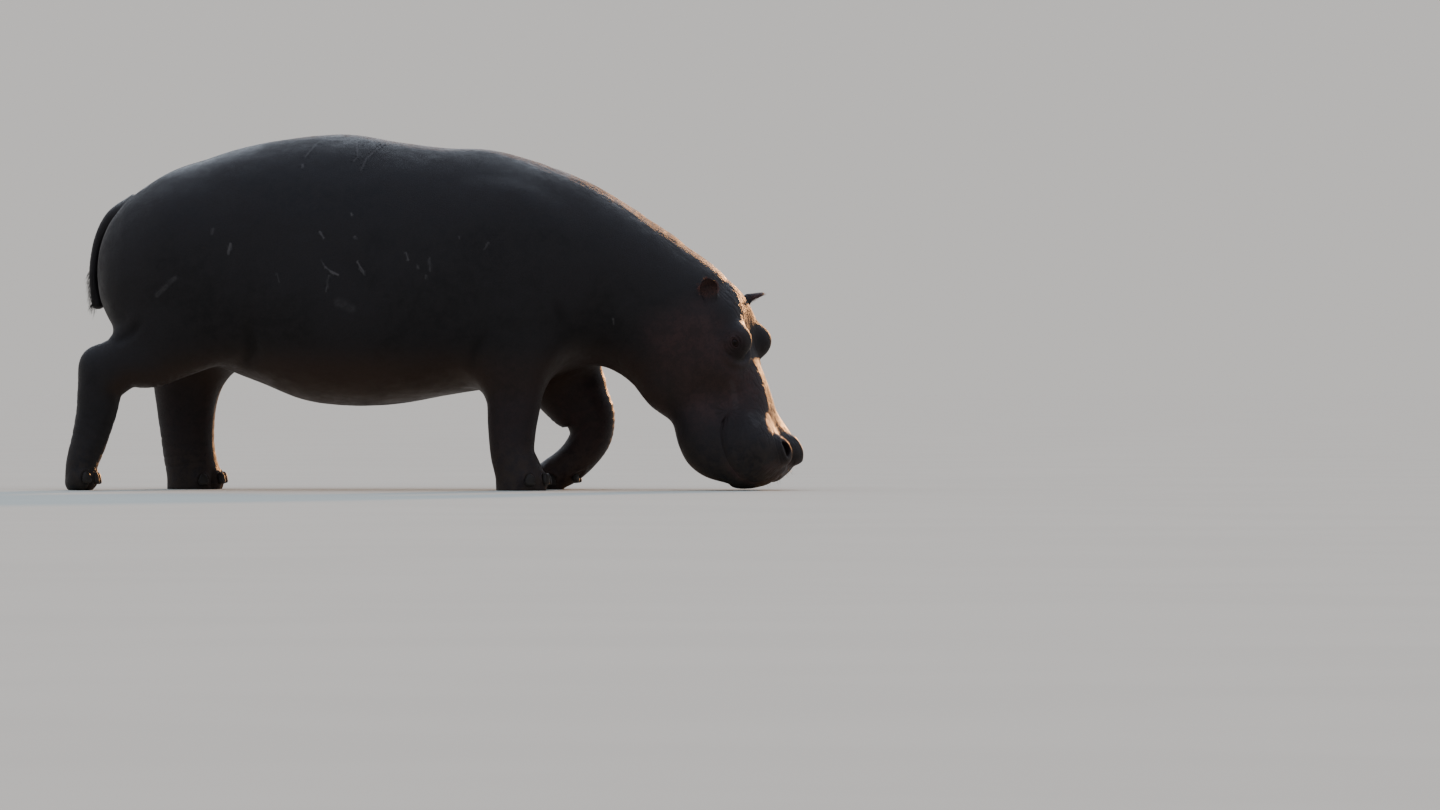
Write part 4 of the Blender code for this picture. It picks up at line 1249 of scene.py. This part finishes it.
def bristles(name, chosen, lie, lengths, radius, droop, roll):
    """Tapered three-sided bristles in one mesh, rooted at the chosen vertices of the skin.

    Each bristle has a patch of the map OFBake, at its root's place on the skin rolled flat.
    """
    lie = lie / np.linalg.norm(lie, axis=1)[:, None]
    side = np.cross(lie, ASKEW)
    side /= np.linalg.norm(side, axis=1)[:, None]
    other = np.cross(lie, side)
    t = np.linspace(0, 1, STEPS + 1)
    roots = at[chosen] - ROOT_DEPTH * normals[chosen]
    spine = roots[:, None] + (lengths[:, None] * t)[..., None] * lie[:, None]
    spine = spine + (lengths[:, None] * t**2)[..., None] * (droop * DOWN)
    turn = 2 * pi * np.arange(FACETS) / FACETS
    ring = np.cos(turn)[:, None] * side[:, None] + np.sin(turn)[:, None] * other[:, None]
    size = radius[:, None] * (1 - TAPER * t**1.5)
    points = spine[:, :, None] + size[..., None, None] * ring[:, None]
    points[:, :, :, 2] = np.maximum(points[:, :, :, 2], SOLE_LEVEL)
    each = (STEPS + 1) * FACETS
    pattern = [(2, 1, 0)]
    for i, k in product(range(STEPS), range(FACETS)):
        a, b = i * FACETS + k, i * FACETS + (k + 1) % FACETS
        pattern.append((a, b, b + FACETS, a + FACETS))
    pattern.append(tuple(range(STEPS * FACETS, each)))
    starts = range(0, len(chosen) * each, each)
    faces = [tuple(start + c for c in face) for start in starts for face in pattern]
    tip = np.tile(np.repeat(t, FACETS), len(chosen))
    piece = modelled(name, "hide", points, faces, tip=tip)
    corners = np.empty(len(piece.data.loops), np.int32)
    piece.data.loops.foreach_get("vertex_index", corners)
    spot = rolled(at[chosen], *roll)[corners // each]
    within = corners % each
    patch = np.column_stack([within % FACETS / FACETS, within // FACETS / STEPS]) - 0.5
    bake = piece.data.uv_layers.new(name="OFBake")
    bake.data.foreach_set("uv", (spot + PATCH * patch).ravel())
    return piece


def picked(where, count):
    """Vertices of the skin, drawn with those weights."""
    found = np.flatnonzero(where > 0.02)
    weights = where[found] / where[found].sum()
    return rng.choice(found, min(count, len(found)), replace=False, p=weights)


def drawn(chosen, low, high):
    return rng.uniform(low, high, len(chosen))


def strewn(chosen, lie, spread):
    """Directions scattered round the given ones."""
    return lie + spread * rng.normal(size=(len(chosen), 3))


def grow_whiskers():
    """Sparse short whiskers on the lip pads and the chin."""
    along, (above, _) = on_head[:, 0], lip_height(on_head)
    pad = ramp(along, 0.66, 0.76) * band(above, (0.010, 0.03), (0.10, 0.16))
    chin = ramp(along, 0.60, 0.68) * hump(above, -0.045, 0.03) * (above < -0.01)
    chosen = picked(pad + 0.6 * chin, 150)
    lengths = drawn(chosen, 0.010, 0.024)
    lie = strewn(chosen, normals[chosen] + 0.5 * HEAD_AXES[0] + 0.3 * DOWN, 0.25)
    radius = drawn(chosen, 0.0002, 0.0004)
    return bristles(
        "whiskers", chosen, lie, lengths, radius, 0.3, (from_head(0, 0, 0), HEAD_AXES, 1.1)
    )


def grow_ear_fringe(side, hand):
    """Hair along an ear's rim, and a little in its cup."""
    root, middle, axes, length = EAR_FRAMES[hand]
    half = ear_half(length)
    e = local(at, middle, axes)
    out = oval(e, half)
    near = (np.abs(e[:, 2]) < 0.03) & (e[:, 0] > -0.5 * half[0])
    chosen = picked(near * (hump(out, 0.97, 0.07) + 0.25 * (out < 0.9) * (e[:, 2] > -0.02)), 520)
    outward = e[chosen] * (1 / half[0], 1 / half[1], 0) @ axes
    lie = strewn(chosen, outward + 0.35 * axes[2] + 0.6 * axes[0], 0.20)
    lengths, radius = drawn(chosen, 0.006, 0.016), drawn(chosen, 0.0003, 0.0005)
    roll = root, axes, 1.3 * length
    return bristles(f"ear_fringe_{side}", chosen, lie, lengths, radius, 0.15, roll)


def grow_tail_fringe():
    """Bristles along both edges of the tail, towards its tip."""
    x, y, z = at.T
    on_tail = (x < -1.45) & (z > 0.75) & (z < 0.93) & (np.abs(y) < 0.08)
    chosen = picked(on_tail * (0.1 + (np.abs(normals[:, 1]) > 0.35)), 260)
    lie = strewn(chosen, 0.8 * normals[chosen] + DOWN, 0.15)
    lengths, radius = drawn(chosen, 0.015, 0.034), drawn(chosen, 0.0005, 0.0008)
    roll = TAIL.centres[-1], np.eye(3)[[2, 0, 1]], 0.5
    return bristles("tail_fringe", chosen, lie, lengths, radius, 0.5, roll)


whiskers = grow_whiskers()
fringes = [grow_ear_fringe(side, hand) for side, hand in SIDES.items()]
tail_fringe = grow_tail_fringe()


# ---------------------------------------------------------------- finishes

HIDE_DARK, HIDE_PALE = (0.0050, 0.0045, 0.0052), (0.0108, 0.0097, 0.0108)
# The second colour below is painted shade, laid in the hide's creases and cracks.
HIDE_SPOTS, HIDE_CREASE_SHADE = (0.0145, 0.0124, 0.0130), (0.0035, 0.0030, 0.0030)
BLOOD, BELLY, SCAR = (0.062, 0.029, 0.027), (0.026, 0.015, 0.010), (0.105, 0.100, 0.102)
DRY_EARTH, NAIL_EARTH = (0.036, 0.028, 0.021), (0.016, 0.013, 0.010)
EYE_WHITE, EYE_VEINS = (0.014, 0.007, 0.006), (0.008, 0.0035, 0.003)
IRIS_DARK, IRIS_PALE = (0.005, 0.0022, 0.0012), (0.014, 0.0060, 0.0026)
IRIS_RIM, PUPIL = (0.002, 0.0012, 0.001), (0.001, 0.001, 0.001)
PUPIL_HALF = 0.0050, 0.0034
HORN_DARK, HORN_PALE = (0.0105, 0.0088, 0.0078), (0.0200, 0.0168, 0.0146)
# The second colour below is painted shade, laid in the cracks of the horn.
HORN_WORN, HORN_CRACK_SHADE = (0.032, 0.027, 0.022), (0.006, 0.005, 0.0045)
# Hair: colour at its root and at its tip
WHISKER_HAIR = (0.006, 0.005, 0.0045), (0.012, 0.010, 0.0085)
TAIL_HAIR = (0.010, 0.009, 0.009), (0.030, 0.026, 0.024)
EAR_HAIR = (0.09, 0.035, 0.028), (0.28, 0.13, 0.10)
FLOOR = (0.487, 0.505, 0.452)


def put(tree, socket, value):
    """Sets a socket to a number, a vector or a colour, or links another socket to it."""
    if isinstance(value, bpy.types.NodeSocket):
        tree.links.new(value, socket)
    elif socket.type == "RGBA":
        socket.default_value = (*value, 1.0)
    else:
        socket.default_value = value


def put_all(tree, node, **values):
    """Sets a node's sockets by their names, with _ for a space."""
    for label, value in values.items():
        put(tree, node.inputs[label.replace("_", " ")], value)


def add(tree, kind, inputs=(), **settings):
    """A node with its settings and its inputs."""
    made = tree.nodes.new(f"ShaderNode{kind}")
    for name, value in settings.items():
        setattr(made, name, value)
    for name, value in dict(inputs).items():
        put(tree, made.inputs[name], value)
    return made


def math(tree, operation, *values, clamp=False):
    made = add(tree, "Math", enumerate(values), operation=operation, use_clamp=clamp)
    return made.outputs[0]


def vectors(tree, operation, first, second):
    return add(tree, "VectorMath", {0: first, 1: second}, operation=operation).outputs[0]


def eased(tree, value, start, end, low=0.0, high=1.0):
    """The value taken from one range to another, eased at both ends."""
    made = add(tree, "MapRange", interpolation_type="SMOOTHSTEP")
    put_all(tree, made, Value=value, From_Min=start, From_Max=end, To_Min=low, To_Max=high)
    return made.outputs[0]


def over(tree, under, top, *masks):
    """One colour laid over another by a mask, or by the product of two."""
    share = masks[0] if len(masks) == 1 else math(tree, "MULTIPLY", *masks)
    return add(tree, "Mix", {0: share, 6: under, 7: top}, data_type="RGBA").outputs[2]


def group(name, inputs, outputs):
    """A new shader group, with the nodes that its inputs come from and its outputs go to."""
    tree = bpy.data.node_groups.new(name, "ShaderNodeTree")
    for kind, label, value in inputs:
        socket = tree.interface.new_socket(label, in_out="INPUT", socket_type=f"NodeSocket{kind}")
        if value is not None:
            socket.default_value = value
    for kind, label in outputs:
        tree.interface.new_socket(label, in_out="OUTPUT", socket_type=f"NodeSocket{kind}")
    return tree, tree.nodes.new("NodeGroupInput").outputs, tree.nodes.new("NodeGroupOutput").inputs


def placed(tree, made, **inputs):
    """A group in a material, with the material's own values."""
    used = tree.nodes.new("ShaderNodeGroup")
    used.node_tree = made
    put_all(tree, used, **inputs)
    return used.outputs


def mottling_group():
    """Cloudy patches: 0 in some, 1 in others."""
    tree, given, result = group(
        "mottling",
        [("Vector", "Place", None), ("Float", "Per metre", 6.0), ("Float", "Roughness", 0.6)],
        [("Float", "Patch")],
    )
    cloud = add(tree, "TexNoise", {
        "Vector": given["Place"], "Scale": given["Per metre"], "Detail": 5.0,
        "Roughness": given["Roughness"], "Distortion": 0.3,
    })
    put(tree, result["Patch"], eased(tree, cloud.outputs[0], 0.34, 0.66))
    return tree


def grain_group():
    """Crackled hide: its height, and a mask of its cracks."""
    tree, given, result = group(
        "hide_grain",
        [("Vector", "Place", None), ("Float", "Cells per metre", 95.0),
         ("Float", "Fineness", 3.4)],
        [("Float", "Height"), ("Float", "Cracks")],
    )
    place, per_metre = given["Place"], given["Cells per metre"]
    bend = add(tree, "TexNoise", {"Vector": place, "Scale": 40.0, "Detail": 2.0})
    shift = vectors(tree, "SUBTRACT", bend.outputs[1], (0.5, 0.5, 0.5))
    scaled = add(tree, "VectorMath", {0: shift, "Scale": 0.016}, operation="SCALE")
    bent = vectors(tree, "ADD", place, scaled.outputs[0])

    def edges(per_metre):
        cells = {"Vector": bent, "Scale": per_metre}
        return add(tree, "TexVoronoi", cells, feature="DISTANCE_TO_EDGE").outputs[0]

    wide = edges(per_metre)
    small = edges(math(tree, "MULTIPLY", per_metre, given["Fineness"]))
    grit = add(tree, "TexNoise", {"Vector": place, "Scale": 420.0, "Detail": 3.0})
    height = math(tree, "MULTIPLY", eased(tree, wide, 0.0, 0.16), 0.55)
    height = math(tree, "MULTIPLY_ADD", eased(tree, small, 0.0, 0.22), 0.28, height)
    height = math(tree, "MULTIPLY_ADD", grit.outputs[0], 0.25, height)
    put(tree, result["Height"], height)
    put(tree, result["Cracks"], eased(tree, wide, 0.10, 0.0))
    return tree


def dust_group():
    """Dried earth that clings in patches over a colour."""
    tree, given, result = group(
        "dust",
        [("Color", "Under", None), ("Color", "Earth", (0.10, 0.08, 0.06, 1.0)),
         ("Float", "Amount", 0.5), ("Float", "Patch", 0.5)],
        [("Color", "Colour"), ("Float", "Cover")],
    )
    cover = math(tree, "MULTIPLY", given["Amount"], given["Patch"], clamp=True)
    put(tree, result["Colour"], over(tree, given["Under"], given["Earth"], cover))
    put(tree, result["Cover"], cover)
    return tree


MOTTLING, GRAIN, DUST = mottling_group(), grain_group(), dust_group()


def material(name):
    """A new material, its nodes, its shader, and the place on the piece."""
    made = bpy.data.materials.new(name)
    made.use_nodes = True
    tree = made.node_tree
    return made, tree, tree.nodes["Principled BSDF"], add(tree, "TexCoord").outputs["Object"]


def value_of(tree, name):
    return add(tree, "Attribute", attribute_name=name).outputs["Fac"]


def wear(made, *pieces):
    for piece in pieces:
        piece.data.materials.clear()
        piece.data.materials.append(made)


def hide_material():
    made, tree, shader, place = material("wet_hide")
    broad = placed(tree, MOTTLING, Place=place, Per_metre=3.5, Roughness=0.62)["Patch"]
    close = placed(tree, MOTTLING, Place=place, Per_metre=26.0, Roughness=0.70)["Patch"]
    grain = placed(tree, GRAIN, Place=place, Cells_per_metre=125.0, Fineness=3.1)

    colour = over(tree, HIDE_DARK, HIDE_PALE, broad)
    colour = over(tree, colour, HIDE_SPOTS, close, 0.45)
    uneven = eased(tree, close, 0.0, 1.0, 0.55, 1.0)
    colour = over(tree, colour, BLOOD, value_of(tree, "rosy"), uneven)
    colour = over(tree, colour, BELLY, value_of(tree, "warm"), 0.8)
    # Painted shade: the hide is darkened in its creases and in the cracks of its grain.
    deep = math(tree, "MULTIPLY", grain["Cracks"], 0.45)
    deep = math(tree, "MAXIMUM", deep, value_of(tree, "crease"))
    colour = over(tree, colour, HIDE_CREASE_SHADE, deep, 0.55)
    scar = math(tree, "MULTIPLY", value_of(tree, "scar"), eased(tree, close, 0.0, 0.8, 0.5, 1.0))
    colour = over(tree, colour, SCAR, scar, 0.75)
    earth = math(tree, "MULTIPLY", value_of(tree, "earth"), 0.6)
    dusty = placed(tree, DUST, Under=colour, Earth=DRY_EARTH, Amount=earth, Patch=close)

    rough = eased(tree, broad, 0.0, 1.0, 0.40, 0.52)
    for mask, more in ((close, 0.10), (dusty["Cover"], 0.3), (deep, 0.12)):
        rough = math(tree, "MULTIPLY_ADD", mask, more, rough)
    height = math(tree, "MULTIPLY", grain["Height"], eased(tree, broad, 0.0, 1.0, 0.45, 1.0))
    bump = add(tree, "Bump", {"Strength": 0.50, "Distance": 0.0018, "Height": height})
    put_all(
        tree, shader, Base_Color=dusty["Colour"], Roughness=rough, Specular_IOR_Level=0.155,
        Normal=bump.outputs[0],
    )
    return made


def eye_material():
    made, tree, shader, place = material("wet_eye")

    def root_of_squares(first, second):
        square = math(tree, "MULTIPLY", second, second)
        return math(tree, "SQRT", math(tree, "MULTIPLY_ADD", first, first, square))

    across, upward = value_of(tree, "across"), value_of(tree, "upward")
    out = root_of_squares(upward, across)
    wide, high = (
        math(tree, "DIVIDE", way, half) for way, half in zip((across, upward), PUPIL_HALF)
    )
    veins = placed(tree, MOTTLING, Place=place, Per_metre=260.0, Roughness=0.7)["Patch"]
    rays = add(tree, "TexNoise", {"Vector": place, "Scale": 900.0, "Detail": 3.0})
    white = over(tree, EYE_WHITE, EYE_VEINS, veins)
    iris = over(tree, IRIS_DARK, IRIS_PALE, rays.outputs[0])
    iris = over(tree, iris, IRIS_RIM, eased(tree, out, 0.0070, 0.0092))
    colour = over(tree, iris, white, eased(tree, out, 0.0092, 0.0104))
    pupil = eased(tree, root_of_squares(high, wide), 1.12, 0.95)
    colour = over(tree, colour, PUPIL, pupil)
    put_all(tree, shader, Base_Color=colour, Roughness=0.10, Specular_IOR_Level=0.10)
    return made


def nail_material():
    made, tree, shader, place = material("toenail_horn")
    close = placed(tree, MOTTLING, Place=place, Per_metre=70.0, Roughness=0.65)["Patch"]
    grain = placed(tree, GRAIN, Place=place, Cells_per_metre=210.0, Fineness=2.5)
    colour = over(tree, HORN_DARK, HORN_PALE, close)
    colour = over(tree, colour, HORN_WORN, value_of(tree, "worn"), 0.7)
    # Painted shade darkens the cracks of the horn.
    colour = over(tree, colour, HORN_CRACK_SHADE, grain["Cracks"], 0.4)
    dusty = placed(tree, DUST, Under=colour, Earth=NAIL_EARTH, Amount=0.4, Patch=close)
    rough = eased(tree, close, 0.0, 1.0, 0.42, 0.62)
    bump = add(tree, "Bump", {"Strength": 0.4, "Distance": 0.0008, "Height": grain["Height"]})
    put_all(
        tree, shader, Base_Color=dusty["Colour"], Roughness=rough, Specular_IOR_Level=0.18,
        Normal=bump.outputs[0],
    )
    return made


def bristle_material(name, root, tip):
    made, tree, shader, place = material(name)
    close = placed(tree, MOTTLING, Place=place, Per_metre=90.0, Roughness=0.6)["Patch"]
    colour = over(tree, root, tip, value_of(tree, "tip"))
    colour = over(tree, colour, root, close, 0.4)
    rough = eased(tree, close, 0.0, 1.0, 0.48, 0.62)
    put_all(tree, shader, Base_Color=colour, Roughness=rough, Specular_IOR_Level=0.18)
    return made


def floor_material():
    made, tree, shader, place = material("pale_floor")
    cloud = placed(tree, MOTTLING, Place=place, Per_metre=0.7, Roughness=0.5)["Patch"]
    colour = over(tree, FLOOR, [0.97 * c for c in FLOOR], cloud)
    put_all(tree, shader, Base_Color=colour, Roughness=0.9, Specular_IOR_Level=0.0)
    return made


wear(hide_material(), skin)
wear(eye_material(), *eyeballs)
wear(nail_material(), *toenails)
wear(bristle_material("whisker_hair", *WHISKER_HAIR), whiskers)
wear(bristle_material("tail_hair", *TAIL_HAIR), tail_fringe)
wear(bristle_material("ear_hair", *EAR_HAIR), *fringes)


# ---------------------------------------------------------------- floor, light and camera

FLOOR_RADIUS = 400.0
SKY_LOW, SKY_HIGH = (0.66, 0.64, 0.62), (1.04, 1.14, 1.40)
TARGET, AWAY, CAMERA_TURN = (1.21, 0.0, 0.36), 45.0, radians(3.5)
CAMERA_HEIGHT, LENS, SENSOR = 0.445, 265.5, 36.0


def lay_floor():
    mesh = bpy.data.meshes.new("studio_floor")
    made = bmesh.new()
    bmesh.ops.create_circle(made, cap_ends=True, segments=96, radius=FLOOR_RADIUS)
    made.to_mesh(mesh)
    made.free()
    piece = in_scene("studio_floor", mesh)
    wear(floor_material(), piece)


def hang_lamp(name, towards, strength, colour, softness):
    """A lamp far away in that direction, as soft as that many degrees."""
    light = bpy.data.lights.new(name, "SUN")
    light.energy, light.color, light.angle = strength, colour, radians(softness)
    way = Vector(towards).to_track_quat("Z", "Y")
    in_scene(name, light).rotation_euler = way.to_euler()


def light_sky():
    """Soft light from all round, whiter overhead."""
    world = bpy.data.worlds.new("studio")
    world.use_nodes = True
    bpy.context.scene.world = world
    sky = world.node_tree
    height = add(sky, "SeparateXYZ", {0: add(sky, "TexCoord").outputs["Generated"]}).outputs["Z"]
    dome = over(sky, SKY_LOW, SKY_HIGH, eased(sky, height, 0.0, 0.9))
    put(sky, sky.nodes["Background"].inputs["Color"], dome)


def set_camera():
    camera = in_scene("camera", bpy.data.cameras.new("camera"))
    camera.data.lens, camera.data.sensor_width = LENS, SENSOR
    camera.data.clip_start, camera.data.clip_end = 1.0, 1500.0
    target = Vector(TARGET)
    camera.location = target + AWAY * Vector((sin(CAMERA_TURN), -cos(CAMERA_TURN), 0))
    camera.location.z = CAMERA_HEIGHT
    camera.rotation_euler = (target - camera.location).to_track_quat("-Z", "Y").to_euler()
    bpy.context.scene.camera = camera


lay_floor()
hang_lamp("low_lamp", (0.27, 0.94, 0.20), 5.2, (1.0, 0.47, 0.18), 5.0)
hang_lamp("back_lamp", (-0.05, 0.88, 0.46), 0.8, (0.78, 0.88, 1.0), 40.0)
light_sky()
set_camera()
